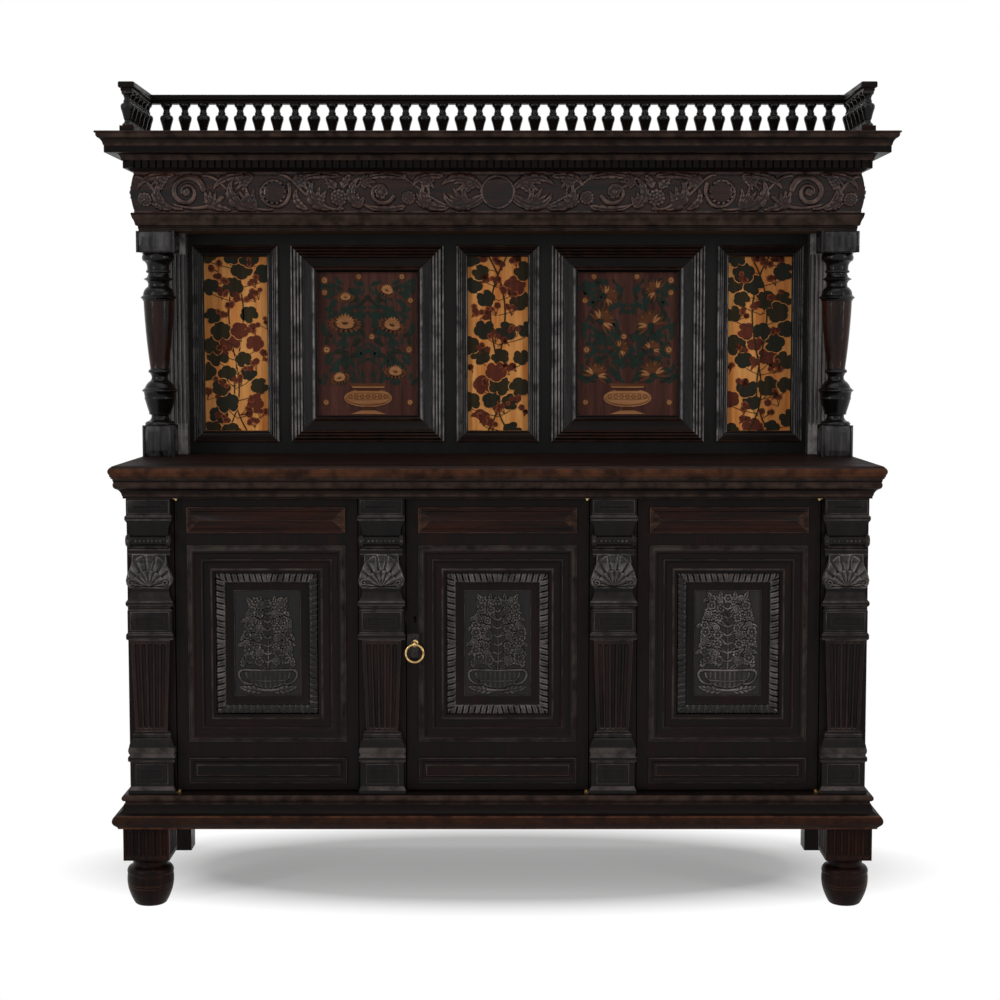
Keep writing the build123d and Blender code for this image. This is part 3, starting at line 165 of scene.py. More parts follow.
def softened(points, radius=0.8):
    """The outline with a small round on each corner, as handling leaves it."""
    soft = [points[0]]
    for before, corner, after in zip(points, points[1:], points[2:]):
        a, b, c = (np.array(point, float) for point in (before, corner, after))
        back, onward = a - b, c - b
        lengths = np.linalg.norm(back), np.linalg.norm(onward)
        if min(lengths) < 1e-6:
            continue
        cosine = np.dot(-back, onward) / (lengths[0] * lengths[1])
        if math.acos(max(-1.0, min(1.0, cosine))) < SHARPEST:
            soft.append(corner)
            continue
        reach = min(radius, 0.45 * lengths[0], 0.45 * lengths[1])
        start = b + back / lengths[0] * reach
        end = b + onward / lengths[1] * reach
        soft += [tuple(start), tuple((start + end) / 4 + b / 2), tuple(end)]
    soft.append(points[-1])
    return soft


# ---- shapes
class Shape:
    """Points and faces, with the number of a finish for each face."""

    def __init__(self):
        self.points = []
        self.faces = []
        self.finish = []
        self.count = 0

    def add(self, points, faces, finish=0):
        points = np.asarray(points, float).reshape(-1, 3)
        self.faces += [[index + self.count for index in face] for face in faces]
        self.finish += list(finish) if isinstance(finish, (list, tuple)) else [finish] * len(faces)
        self.points.append(points)
        self.count += len(points)
        return self

    def flat(self, points, finish=0):
        """One face through all the points."""
        return self.add(points, [range(len(points))], finish)

    def grid(self, points, closed=False, finish=0, column_finish=None):
        """Points in rows and columns. Closed joins the last column to the first."""
        rows, columns = points.shape[:2]
        last = columns if closed else columns - 1
        faces = [[r * columns + c, r * columns + (c + 1) % columns, (r + 1) * columns + (c + 1) % columns,
                  (r + 1) * columns + c] for r in range(rows - 1) for c in range(last)]
        if column_finish is not None:
            finish = [column_finish[c] for _ in range(rows - 1) for c in range(last)]
        return self.add(points, faces, finish)

    def join(self, other, move=(0, 0, 0), mirror=False, quarter=0):
        """Another shape, turned by quarters about the upright axis, moved and mirrored in x."""
        points = np.concatenate(other.points)
        for _ in range(quarter):
            points = points[:, [1, 0, 2]] * np.array([-1, 1, 1])
        points = (points + np.array(move, float)) * np.array([-1 if mirror else 1, 1, 1])
        return self.add(points, other.faces, list(other.finish))

    def square(self, other):
        """Another shape on all four sides."""
        for quarter in range(4):
            self.join(other, quarter=quarter)
        return self

    def pair(self, other, move=(0, 0, 0)):
        return self.join(other, move).join(other, move, mirror=True)


def wrapped(shape, profile, half, front, back, finishes=(0, 1)):
    """A moulding on the front and both sides, with a profile of (projection, height)."""
    rows = np.array([[(-half - p, back, z), (-half - p, front - p, z), (half + p, front - p, z),
                      (half + p, back, z)] for p, z in profile])
    shape.grid(rows, column_finish=(finishes[1], finishes[0], finishes[1]))
    for column in (0, 3):
        shape.flat(rows[:, column], finishes[1])


def framed(shape, profile, low, high, face, finishes=(0, 1)):
    """Four mitred lengths round a rectangle in x and z, with a profile of (inward, forward)."""
    x0, x1, z0, z1 = low[0], high[0], low[-1], high[-1]
    rows = np.array([[(x0 + i, face - f, z0 + i), (x1 - i, face - f, z0 + i),
                      (x1 - i, face - f, z1 - i), (x0 + i, face - f, z1 - i)] for i, f in profile])
    shape.grid(rows, closed=True, column_finish=(finishes[0], finishes[1]) * 2)
    return rows[-1]


def terrace(shape, profile, low, high, face, finish=0, ends=None):
    """A framed outline closed by a flat in its middle."""
    ends = finish if ends is None else ends
    shape.flat(framed(shape, softened(profile, 0.5), low, high, face, (finish, ends)), finish)


def lathe(shape, profile, centre=(0, 0, 0), sides=56, finish=0, axis=2):
    """A form turned on an axis, with a profile of (radius, height along the axis)."""
    first, second = (k for k in range(3) if k != axis)
    radius, height = np.array(profile, float).T[:, :, None]
    rows = np.zeros((len(profile), sides, 3)) + centre
    rows[..., axis] += height
    rows[..., first] += radius * np.cos(circle(sides))
    rows[..., second] += radius * np.sin(circle(sides))
    shape.grid(rows, closed=True, finish=finish)


def ball(shape, centre, radius, sides=12):
    """A bead with its axis along Y."""
    tilt = np.linspace(0.02, math.pi - 0.02, sides // 2 + 1)
    lathe(shape, [(radius * math.sin(t), -radius * math.cos(t)) for t in tilt], centre, sides, axis=1)


def board(shape, x0, x1, y0, y1, z0, z1, edge=0.8, finish=0):
    """A square-edged board with its arrises eased."""
    low, high = np.array([x0, y0, z0], float), np.array([x1, y1, z1], float)
    points, index = [], {}
    for corner in np.ndindex(2, 2, 2):
        for axis in range(3):
            point = [high[k] - edge if corner[k] else low[k] + edge for k in range(3)]
            point[axis] = high[axis] if corner[axis] else low[axis]
            index[corner, axis] = len(points)
            points.append(point)
    faces = []
    for axis in range(3):
        u, v = (k for k in range(3) if k != axis)
        for side in (0, 1):
            loop = []
            for a, b in ((0, 0), (1, 0), (1, 1), (0, 1)):
                corner = [0, 0, 0]
                corner[axis], corner[u], corner[v] = side, a, b
                loop.append(index[tuple(corner), axis])
            faces.append(loop)
        for a, b in np.ndindex(2, 2):
            ends = []
            for side in (0, 1):
                corner = [0, 0, 0]
                corner[axis], corner[u], corner[v] = side, a, b
                ends.append(tuple(corner))
            faces.append([index[ends[0], u], index[ends[0], v], index[ends[1], v], index[ends[1], u]])
    faces += [[index[corner, axis] for axis in range(3)] for corner in np.ndindex(2, 2, 2)]
    shape.add(points, faces, finish)


def surface(shape, x, y, z, back=None, finish=0):
    """A carved sheet over equal arrays, with its edges run back to a plane y = back."""
    points = np.stack([x, y, z], axis=-1)
    if back is not None:
        points = np.pad(points, ((1, 1), (1, 1), (0, 0)), mode="edge")
        for edge in (points[0], points[-1], points[:, 0], points[:, -1]):
            edge[..., 1] = back
    shape.grid(points, finish=finish)


def values(items, key, kind=float, width=1):
    found = np.empty(len(items) * width, kind)
    items.foreach_get(key, found)
    return found.reshape(-1, width) if width > 1 else found


def mark_edges(mesh):
    """Gives narrow faces their curvature per millimetre: above 0 on edges and below 0 in hollows. The wood
    finishes read it to paint edge highlights mixed with rubbing, and shade in the hollows.
    """
    edge, vertex = values(mesh.loops, "edge_index", int), values(mesh.loops, "vertex_index", int)
    size = values(mesh.polygons, "loop_total", int)
    face = np.repeat(np.arange(len(size)), size)
    normal, centre = values(mesh.polygons, "normal", width=3), values(mesh.polygons, "center", width=3)
    ends = values(mesh.edges, "vertices", int, 2)
    point = values(mesh.vertices, "co", width=3)
    uses = np.bincount(edge, minlength=len(ends))
    order = face[np.argsort(edge, kind="stable")]
    first = (np.cumsum(uses) - uses)[uses == 2]
    one, other = order[first], order[first + 1]
    turn = np.arccos(np.clip((normal[one] * normal[other]).sum(axis=1), -1, 1))
    bend = np.zeros(len(ends))
    bend[uses == 2] = -turn * np.sign(((centre[other] - centre[one]) * normal[one]).sum(axis=1))
    total = sum(np.bincount(ends[:, k], bend, len(point)) for k in (0, 1))
    count = sum(np.bincount(ends[:, k], minlength=len(point)) for k in (0, 1))
    long = np.linalg.norm(point[ends[:, 0]] - point[ends[:, 1]], axis=1)
    longest = np.maximum.reduceat(long[edge], np.cumsum(size) - size)
    width = values(mesh.polygons, "area") / np.maximum(longest, 1e-9)
    mean = 2 * total / np.maximum(count, 1)
    near = ends[long < SOFTEN_REACH]
    for _ in range(SOFTEN_PASSES):
        beside = sum(np.bincount(near[:, k], mean[near[:, 1 - k]], len(point)) for k in (0, 1))
        number = sum(np.bincount(near[:, k], minlength=len(point)) for k in (0, 1))
        mean = np.where(number > 0, 0.4 * mean + 0.6 * beside / np.maximum(number, 1), mean)
    share = np.clip((NARROW_FACE - width) / NARROW_FACE * 2, 0, 1) / np.maximum(width / MM, 0.1)
    value = mean[vertex] * share[face]
    mesh.attributes.new("edge", "FLOAT", "CORNER").data.foreach_set("value", value)


def piece(name, shape, node, finishes, body="carcase"):
    """The shape as a Blender mesh that rides on a body and stands for a CAD node, if one is named."""
    mesh = bpy.data.meshes.new(name)
    mesh.from_pydata((np.concatenate(shape.points) * MM).tolist(), [], shape.faces)
    for finish in finishes:
        mesh.materials.append(finish)
    mesh.polygons.foreach_set("material_index", shape.finish)
    solid = bmesh.new()
    solid.from_mesh(mesh)
    bmesh.ops.remove_doubles(solid, verts=solid.verts, dist=MERGE_REACH)
    bmesh.ops.recalc_face_normals(solid, faces=solid.faces)
    solid.to_mesh(mesh)
    solid.free()
    mark_edges(mesh)
    mesh.shade_smooth()
    mesh.set_sharp_from_angle(angle=CRISP)
    obj = bpy.data.objects.new(name, mesh)
    bpy.context.scene.collection.objects.link(obj)
    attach(obj, body)
    if node:
        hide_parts(node)


# ---- materials
class Nodes:
    """A node tree, with short ways to add nodes."""

    def __init__(self, tree):
        self.tree = tree

    def feed(self, socket, value):
        if isinstance(value, bpy.types.NodeSocket):
            self.tree.links.new(value, socket)
        elif isinstance(value, tuple) and len(value) == 3 and socket.type == "RGBA":
            socket.default_value = (*value, 1.0)
        else:
            socket.default_value = value

    def new(self, kind, settings):
        node = self.tree.nodes.new("ShaderNode" + kind)
        for key, value in settings.items():
            setattr(node, key, value)
        return node

    def node(self, kind, output=0, settings=(), **inputs):
        """A node fed by the names of its sockets."""
        node = self.new(kind, dict(settings))
        for key, value in inputs.items():
            self.feed(node.inputs[key.replace("_", " ")], value)
        return node.outputs[output]

    def stack(self, kind, *inputs, **settings):
        """A node fed in the order of its sockets."""
        node = self.new(kind, settings)
        for socket, value in zip(node.inputs, inputs):
            self.feed(socket, value)
        return node.outputs[0]

    def seen_ray(self):
        """1 for rays that see the backdrop: camera, glossy and transmission rays."""
        path = self.new("LightPath", {})
        total = path.outputs["Is Camera Ray"]
        for name in ("Is Glossy Ray", "Is Transmission Ray"):
            total = self.stack("Math", total, path.outputs[name], operation="MAXIMUM")
        return total


class Finish(Nodes):
    """A material, with short ways to lay its colours."""

    def __init__(self, name):
        self.material = bpy.data.materials.new(name)
        self.material.use_nodes = True
        super().__init__(self.material.node_tree)
        self.shader = self.tree.nodes["Principled BSDF"]

    def set(self, **inputs):
        for key, value in inputs.items():
            self.feed(self.shader.inputs[key.replace("_", " ")], value)

    def place(self, scale=(1.0, 1.0, 1.0), location=(0, 0, 0)):
        """Coordinates on the object in metres, stretched by a scale for each axis."""
        return self.node("Mapping", Vector=self.node("TexCoord", output=3), Scale=scale, Location=location)

    def noise(self, place, scale, detail=3.0, rough=0.55, distortion=0.0):
        return self.node("TexNoise", Vector=place, Scale=scale, Detail=detail, Roughness=rough,
                         Distortion=distortion)

    def ramp(self, value, low, high, out_low=0.0, out_high=1.0):
        return self.stack("MapRange", value, low, high, out_low, out_high)

    def mix(self, share, first, second):
        node = self.new("Mix", {"data_type": "RGBA"})
        for socket, value in ((node.inputs[0], share), (node.inputs[6], first), (node.inputs[7], second)):
            self.feed(socket, value)
        return node.outputs[2]

    def multiply(self, first, second):
        return self.stack("Math", first, second, operation="MULTIPLY")

    def add(self, first, second):
        return self.stack("Math", first, second, operation="ADD")


def along(axis, share):
    """A scale that stretches a pattern along one axis."""
    return tuple(share if letter == axis else 1.0 for letter in "XYZ")


def wood(name, dark, light, edge_wear_and_highlight, grain="X", edge_wear_and_highlight_amount=0.6, pores=0.5, gloss=(0.3, 0.48), shine=0.16,
         fine=1.0, relief=0.35, light_share=0.5, hollow=0.0, keen=(0.22, 0.8)):
    """Varnished wood: patches, streaks and pores along the grain; on convex edges real rubbing mixed with
    painted highlight, and painted shade in hollows.
    """
    finish = Finish(name)
    whole, drawn_out = finish.place(), finish.place(along(grain, 0.045))
    patches = finish.ramp(finish.noise(finish.place(along(grain, 0.13)), 24.0, 4.0, 0.6), 0.42, 0.66)
    streaks = finish.ramp(finish.noise(drawn_out, 95.0 * fine, 5.0, 0.6, 0.4), 0.38, 0.66)
    share = finish.add(finish.multiply(patches, 0.55), finish.multiply(streaks, 0.6))
    colour = finish.mix(finish.multiply(share, light_share), dark, light)
    pit = finish.ramp(finish.noise(drawn_out, 720.0 * fine, 2.0, 0.5), 0.36, 0.47)
    colour = finish.mix(finish.ramp(pit, 0.0, 1.0, pores, 0.0), colour, (0.002, 0.0016, 0.0014))
    # Edge colour: convex narrow faces turn toward a paler colour that is real rubbing and painted highlight
    # together.
    bend = finish.node("Attribute", output=2, settings={"attribute_name": "edge"})
    wear_and_highlight_mask = finish.ramp(finish.noise(whole, 38.0, 4.0), 0.35, 0.65, 0.15, edge_wear_and_highlight_amount)
    colour = finish.mix(finish.multiply(finish.ramp(bend, *keen), wear_and_highlight_mask), colour, edge_wear_and_highlight)
    # Painted shade: narrow concave faces darken toward near black, as shade in hollows and creases.
    deep = finish.ramp(bend, -1.6 * keen[1], -0.6 * keen[0], hollow, 0.0)
    colour = finish.mix(deep, colour, (0.0012, 0.001, 0.0009))
    height = finish.add(finish.multiply(pit, 0.7), finish.multiply(streaks, 0.5))
    finish.set(Base_Color=colour, Specular_IOR_Level=shine,
               Roughness=finish.ramp(finish.noise(whole, 21.0, 5.0), 0.3, 0.7, *gloss),
               Normal=finish.node("Bump", Strength=relief, Distance=0.0004, Height=height))
    return finish.material


# Default edge colour: real rubbing together with painted highlight.
def oak(name, grain, light=(0.023, 0.008, 0.006), edge_wear_and_highlight=(0.085, 0.068, 0.06), edge_wear_and_highlight_amount=0.9, shine=0.085, **more):
    return wood(name, (0.0046, 0.004, 0.0038), light, edge_wear_and_highlight, grain, edge_wear_and_highlight_amount, shine=shine, **more)


RED = {"light": (0.031, 0.0098, 0.0055), "edge_wear_and_highlight": (0.13, 0.048, 0.023), "light_share": 0.75, "shine": 0.06,
       "gloss": (0.3, 0.46)}
DIM = {"light": (0.017, 0.007, 0.0054), "edge_wear_and_highlight": (0.07, 0.042, 0.032), "light_share": 0.55, "shine": 0.055,
       "gloss": (0.3, 0.46)}
# Carving: pale edge colours paint highlights on the ridges, and hollow paints shade in the crevices.
CARVED = {"relief": 0.2, "gloss": (0.1, 0.2), "shine": 0.2, "edge_wear_and_highlight_amount": 1.0, "hollow": 0.6, "keen": (0.03, 0.27)}
# Painted sheen: pale grey light and edge colours stand in for reflections along reeds.
PAINTED_SHEEN = {"gloss": (0.18, 0.32), "edge_wear_and_highlight": (0.4, 0.37, 0.36), "edge_wear_and_highlight_amount": 1.0, "fine": 1.4, "hollow": 0.7,
         "keen": (0.1, 0.6)}
OAK_X, OAK_Z = (oak(f"ebonised_oak_{axis.lower()}", axis) for axis in "XZ")
RED_X, RED_Y, RED_Z = (oak(f"rubbed_oak_{axis.lower()}", axis, **RED) for axis in "XYZ")
DIM_X, DIM_Y = (oak(f"dark_oak_{axis.lower()}", axis, **DIM) for axis in "XY")
# The top boards: reddish colour that is partly the oak's tone and partly a painted reflection, with little
# real gloss.
TOP_SHEEN_X = oak("top_oak_painted_sheen", "X", (0.036, 0.014, 0.0095), (0.05, 0.02, 0.01), shine=0.02, gloss=(0.5, 0.65))
SHAFT_Z = oak("column_shaft_oak", "Z", (0.056, 0.0145, 0.0068), (0.1, 0.035, 0.018), shine=0.13,
              gloss=(0.1, 0.2), light_share=0.9)
TURNED_Z = oak("turned_oak", "Z", (0.013, 0.01, 0.0092), (0.06, 0.05, 0.046), shine=0.15, gloss=(0.08, 0.18))
# Pale grey for the fielded blocks: a painted reflection of their flat faces, not the oak's own colour.
BLOCK_SHEEN_Z = oak("column_block_painted_sheen", "Z", (0.16, 0.15, 0.15), (0.16, 0.15, 0.146), shine=0.18, gloss=(0.16, 0.3))
CARVED_X = oak("carved_oak_x", "X", (0.058, 0.0145, 0.009), (0.145, 0.088, 0.07), light_share=0.7, **CARVED)
CARVED_Z = oak("carved_oak_z", "Z", (0.02, 0.015, 0.013), (0.135, 0.113, 0.102), **CARVED)
# A lighter copy of the carved finish for the right door: painted light, as that door's carving catches more
# light.
CARVED_LIT_Z = oak("carved_oak_painted_light", "Z", (0.05, 0.042, 0.038), (0.23, 0.198, 0.185), **CARVED)
# Pilasters: grey edge colour partly painted highlight; hollow paints shade in the steps.
PILASTER_Z = oak("pilaster_oak", "Z", (0.019, 0.013, 0.0115), (0.1, 0.082, 0.075), 1.0, 0.11,
                 gloss=(0.16, 0.3), hollow=0.7, keen=(0.17, 0.8))
# Shell: its pale grey edge colour is mostly painted highlight.
SHELL_Z = oak("shell_oak", "Z", (0.026, 0.0205, 0.018), (0.19, 0.165, 0.153), **CARVED)
FLUTED_Z = oak("fluted_oak", "Z", (0.04, 0.0205, 0.0165), (0.1, 0.07, 0.06), shine=0.1, hollow=0.7,
               light_share=0.7)
# Reeded responds: pale grey as painted sheen.
PAINTED_SHEEN_Z = oak("reeded_oak_painted_sheen", "Z", (0.24, 0.21, 0.204), light_share=0.9, shine=0.3, **PAINTED_SHEEN)
WALL_FRAME = oak("wall_frame_oak", "Z", (0.012, 0.0098, 0.0093), (0.05, 0.045, 0.042), shine=0.13)
WALL_X = oak("wall_moulding_x", "X", (0.02, 0.009, 0.006), (0.1, 0.035, 0.018))
# Upright wall mouldings: grey colours as painted sheen from the side lamps.
WALL_SHEEN_Z = oak("wall_moulding_painted_sheen_z", "Z", (0.052, 0.045, 0.045), shine=0.14, **PAINTED_SHEEN)
HIP = oak("hipped_field", "X", (0.046, 0.013, 0.0078), (0.1, 0.055, 0.04), light_share=0.8)
# A lighter copy of the hipped field for its sloping ends: painted light where they face the lamps.
HIP_END_LIT = oak("hipped_ends_painted_light", "X", (0.11, 0.052, 0.032), (0.14, 0.07, 0.04), light_share=0.9)
PLAIN_X, PLAIN_Z = (wood(f"plain_oak_{axis.lower()}", (0.05, 0.024, 0.012), (0.125, 0.066, 0.034),
                         (0.16, 0.09, 0.05), axis, gloss=(0.55, 0.75)) for axis in "XZ")


def veneer(name, dark, light, grain, pores, light_share=0.5):
    """A thin flat wood of the inlay, whose edge colour is its light colour, as it has no edges to rub or to
    catch a painted highlight.
    """
    return wood(name, dark, light, light, grain, pores=pores, gloss=(0.3, 0.42), relief=0.12, shine=0.07,
                light_share=light_share)


WALNUT = veneer("walnut_ground", (0.048, 0.019, 0.015), (0.14, 0.053, 0.041), "Z", 0.3, 0.8)
SATINWOOD = veneer("satinwood_ground", (0.7, 0.21, 0.045), (1.0, 0.5, 0.16), "Z", 0.06, 0.9)
LEAF = veneer("inlaid_leaf", (0.02, 0.016, 0.008), (0.066, 0.049, 0.022), "Z", 0.2)
LEAF_GREEN = veneer("inlaid_green_leaf", (0.014, 0.026, 0.02), (0.032, 0.055, 0.042), "Z", 0.2)
LEAF_DULL = veneer("inlaid_dull_leaf", (0.016, 0.016, 0.011), (0.04, 0.036, 0.022), "Z", 0.2)
LEAF_VEIN = veneer("inlaid_vein", (0.03, 0.022, 0.01), (0.07, 0.045, 0.018), "Z", 0.1)
PETAL_RED = veneer("inlaid_red_petal", (0.085, 0.02, 0.012), (0.25, 0.062, 0.034), "Z", 0.15)
PETAL_TAN = veneer("inlaid_tan_petal", (0.3, 0.12, 0.045), (0.62, 0.3, 0.13), "X", 0.1, 0.9)
PETAL_ORANGE = veneer("inlaid_orange_petal", (0.24, 0.055, 0.022), (0.52, 0.16, 0.06), "X", 0.12)
PETAL_RUST = veneer("inlaid_rust_petal", (0.1, 0.036, 0.016), (0.24, 0.095, 0.04), "X", 0.12)
VASE_RED = veneer("inlaid_vase", (0.05, 0.018, 0.01), (0.13, 0.05, 0.024), "X", 0.15)
GAP_DARK = veneer("inlaid_shade", (0.006, 0.004, 0.0035), (0.014, 0.008, 0.006), "Z", 0.2)


def metal(name, colour, stain, gloss):
    """A polished metal that has dulled in patches."""
    finish = Finish(name)
    dull = finish.ramp(finish.noise(finish.place(), 160.0, 5.0), 0.42, 0.68)
    scratch = finish.noise(finish.place((1.0, 1.0, 0.08)), 900.0, 2.0)
    finish.set(Base_Color=finish.mix(dull, colour, stain), Metallic=1.0,
               Normal=finish.node("Bump", Strength=0.15, Distance=0.0002, Height=scratch),
               Roughness=finish.ramp(dull, 0.0, 1.0, *gloss))
    return finish.material


BRASS = metal("worn_brass", (0.62, 0.42, 0.17), (0.22, 0.13, 0.05), (0.26, 0.48))
DARK_METAL = metal("dark_backplate", (0.035, 0.032, 0.03), (0.02, 0.018, 0.016), (0.42, 0.6))
IRON = metal("lock_iron", (0.16, 0.15, 0.14), (0.06, 0.045, 0.035), (0.35, 0.6))

for finish, names in (
        (OAK_Z, ["front_stiles", "right_side_frame", "left_side_frame", "side_panels",
                 "narrow_panel_mouldings"] + [f"{side}_door_frame" for side in SIDES]),
        (OAK_X, [f"{side}_door_{part}" for side in SIDES for part in ("moulding", "small_panels")]),
        (CARVED_Z, [f"{side}_door_{part}" for side in SIDES for part in ("carved_frame", "carved_panel")]),
        (BRASS, [f"{side}_{part}" for side in ("left", "right") for part in ("bolt", "bolt_guides")]
         + [f"{side}_door_pivots" for side in SIDES]
         + ["strike_plate", "pivot_sockets", "pull_plate", "ring_pull"]),
        (IRON, ["lock_case", "lock_bolt"]), (DIM_X, ["front_rails", "dentil_course"]),
        (PLAIN_X, ["carcase_bottom", "shelf", "shelf_cleats", "cornice_box"]),
        (PLAIN_Z, ["lower_back_boards", "narrow_panels", "large_panels"]), (RED_X, ["gallery_base_rails"]),
        (WALL_FRAME, ["upper_back_frame"]), (PAINTED_SHEEN_Z, ["back_responds"]),
        (WALL_SHEEN_Z, ["large_panel_mouldings"])):
    for name in names:
        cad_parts[name].data.materials.clear()
        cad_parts[name].data.materials.append(finish)


# ---- mouldings round the carcase
def moulding(name, node, profile, half, front):
    """One outline on the front and both sides, as a piece of its own."""
    shape = Shape()
    wrapped(shape, softened(profile), half, front, Y_BACK)
    piece(name, shape, node, (DIM_X, DIM_Y))


def base_moulding():
    shape = Shape()
    reach, z = Y_FRONT - BASE_LOW[1], BASE_LOW[2]
    top = BASE_HIGH[2] - z
    nose = drawn(reach, z, (0, 0), (0.65, 0), (0.65, 3), (0.9, 10), ((1, 18), (0.85, 28)), (0.78, 29),
                 (0, 29))
    hollow = drawn(reach, z, (0, 29), (0.78, 29), ((0.4, 38), (0.27, top - 19)), (0.2, top - 18),
                   (0.2, top - 14), ((0.42, top - 7), (0.2, top)), (0, top))
    wrapped(shape, softened(nose), HALF, Y_FRONT, Y_BACK)
    wrapped(shape, softened(hollow), HALF, Y_FRONT, Y_BACK, (2, 3))
    piece("moulded_base", shape, "base_moulding", (RED_X, RED_Y, DIM_X, DIM_Y))


def crown_moulding():
    reach, z = CROWN_HIGH[0] - HALF, CROWN_LOW[2]
    top = CROWN_HIGH[2] - z
    profile = drawn(reach, z, (0, 0), (0.1, 0), (0.1, 5), (0.16, 6), ((0.28, 14), (0.55, 20)), (0.66, 21),
                    ((0.84, 27), (0.78, 34)), (0.85, top - 7), (0.85, top - 5), (1, top - 3), (1, top),
                    (0, top))
    moulding("moulded_crown", "crown_moulding", profile, HALF, Y_FRONT)


def sideboard_top():
    """The top's nose on three sides, and its upper face in two boards."""
    shape = Shape()
    reach = TOP_HIGH[0] - HALF
    z, top = TOP_LOW[2], TOP_HIGH[2]
    profile = outline((0, z), (reach - 3, z), (reach - 3, z + 4), ((reach, z + 11), (reach - 3, top - 4)),
                      (reach - 8, top))
    wrapped(shape, softened(profile), HALF, Y_FRONT, Y_BACK)
    x = HALF + reach - 8
    for y0, y1 in ((Y_FRONT - reach + 8, TOP_JOINT_Y - JOINT_HALF), (TOP_JOINT_Y + JOINT_HALF, Y_BACK)):
        corners = [(-x, y0, top), (x, y0, top), (x, y1, top), (-x, y1, top)]
        sunk = [(x, y, top - JOINT_DEPTH) for x, y, _ in corners]
        shape.add(corners + sunk, [[0, 1, 2, 3], [0, 1, 5, 4], [2, 3, 7, 6]], 2)
    shape.flat([(-HALF, Y_FRONT, z), (HALF, Y_FRONT, z), (HALF, Y_BACK, z), (-HALF, Y_BACK, z)])
    piece("moulded_top", shape, "sideboard_top", (RED_X, RED_Y, TOP_SHEEN_X))


# ---- entablature
def entablature():
    """Architrave and cornice as mitred mouldings on three sides."""
    reach = ARCH_HIGH[0] - STAGE_HALF
    z, top = ARCH_LOW[2], ARCH_HIGH[2]
    profile = outline((0, z), (2, z), (2, z + 4), (3, z + 5), (3, z + 10), (0.5 * reach, z + 12),
                      ((0.62 * reach, z + 20), (0.72 * reach, z + 24)),
                      ((0.84 * reach, z + 27), (0.95 * reach, z + 33)), (reach, z + 34), (reach, top),
                      (0, top))
    moulding("moulded_architrave", "architrave_moulding", profile, STAGE_HALF, Y_STAGE)
    reach = CORNICE_HIGH[0] - STAGE_HALF
    z, top = CORNICE_LOW[2], CORNICE_HIGH[2]
    bed = DENTIL_HIGH[0] - STAGE_HALF
    profile = outline((0, z), (bed + 1, z), (bed + 1, z + 3), (bed + 2, z + 5),
                      ((bed + 4, z + 10), (0.5 * reach, z + 14)), (0.78 * reach, z + 14),
                      (0.78 * reach, z + 29), (0.8 * reach, z + 30),
                      ((0.83 * reach, z + 38), (0.9 * reach, z + 44)),
                      ((0.955 * reach, z + 48), (0.96 * reach, z + 54)), (reach, z + 55), (reach, top),
                      (0, top))
    moulding("moulded_cornice", "cornice_moulding", profile, STAGE_HALF, Y_STAGE)


# ---- turned work
def baluster_profile(height):
    """An urn on a ringed foot, with a flared head."""
    return softened(outline((0, 0), (12, 0), (12, 4), (9.5, 6), ((7.4, 9), (7.2, 13)), (8.6, 15),
                            ((11.2, 26), (15, 38)), (15.2, 41), ((14.2, 46), (10, 49)), (8.2, 52), (9.2, 54),
                            (7.4, 56), ((7.6, 62), (11.5, 68)), (13, 70), (13, height), (0, height)), 0.6)


def balusters():
    one, shape = Shape(), Shape()
    lathe(one, baluster_profile(BALUSTER_HIGH[2] - BALUSTER_LOW[2]), sides=16)
    centre_x = CAP_HIGH[0] - RAIL_WIDTH / 2
    back_y = Y_BACK - RAIL_WIDTH / 2
    front_y = CAP_LOW[1] + RAIL_WIDTH / 2
    pitch = 2 * (centre_x - CORNER_BAY) / (BACK_BALUSTERS - 1)
    spots = [(CORNER_BAY - centre_x + k * pitch, back_y) for k in range(BACK_BALUSTERS)]
    for k in range(RETURN_BALUSTERS + 1):
        y = front_y + k * (back_y - front_y) / RETURN_BALUSTERS
        spots += [(-centre_x, y), (centre_x, y)]
    for x, y in spots:
        shape.join(one, (x, y, BALUSTER_LOW[2]))
    piece("turned_balusters", shape, "gallery_balusters", (TURNED_Z,))


def gallery_cap():
    """A rail along the back and one on each return, each with a smaller bed under it."""
    shape = Shape()
    half, low, high = CAP_HIGH[0], CAP_LOW[2], CAP_HIGH[2]
    inner_y = Y_BACK - RAIL_WIDTH
    for x0, x1, y0, y1, finish in ((-half, half, inner_y, Y_BACK, 0),
                                   (half - RAIL_WIDTH, half, CAP_LOW[1], inner_y, 1),
                                   (-half, RAIL_WIDTH - half, CAP_LOW[1], inner_y, 1)):
        board(shape, x0 + 5, x1 - 5, y0 + 5, y1 - (0 if finish else 5), low, low + 7, 0.8, finish)
        board(shape, x0, x1, y0, y1, low + 7, high, 2.0, finish)
    piece("moulded_gallery_cap", shape, "gallery_cap_rails", (DIM_X, DIM_Y))


def fielded_block(width, z0, z1, finish):
    """A square block with a flat-topped field on each side."""
    one, half, rise = Shape(), width / 2, FIELD_RISE
    terrace(one, [(0, 0), (2, 0), (2, 0.6), (14, rise), (15, rise)], (-half, z0), (half, z1), rise - half)
    whole = Shape().square(one)
    inner = half - rise
    board(whole, -inner, inner, -inner, inner, z0, z1, 0.5)
    whole.finish = [finish] * len(whole.faces)
    return whole


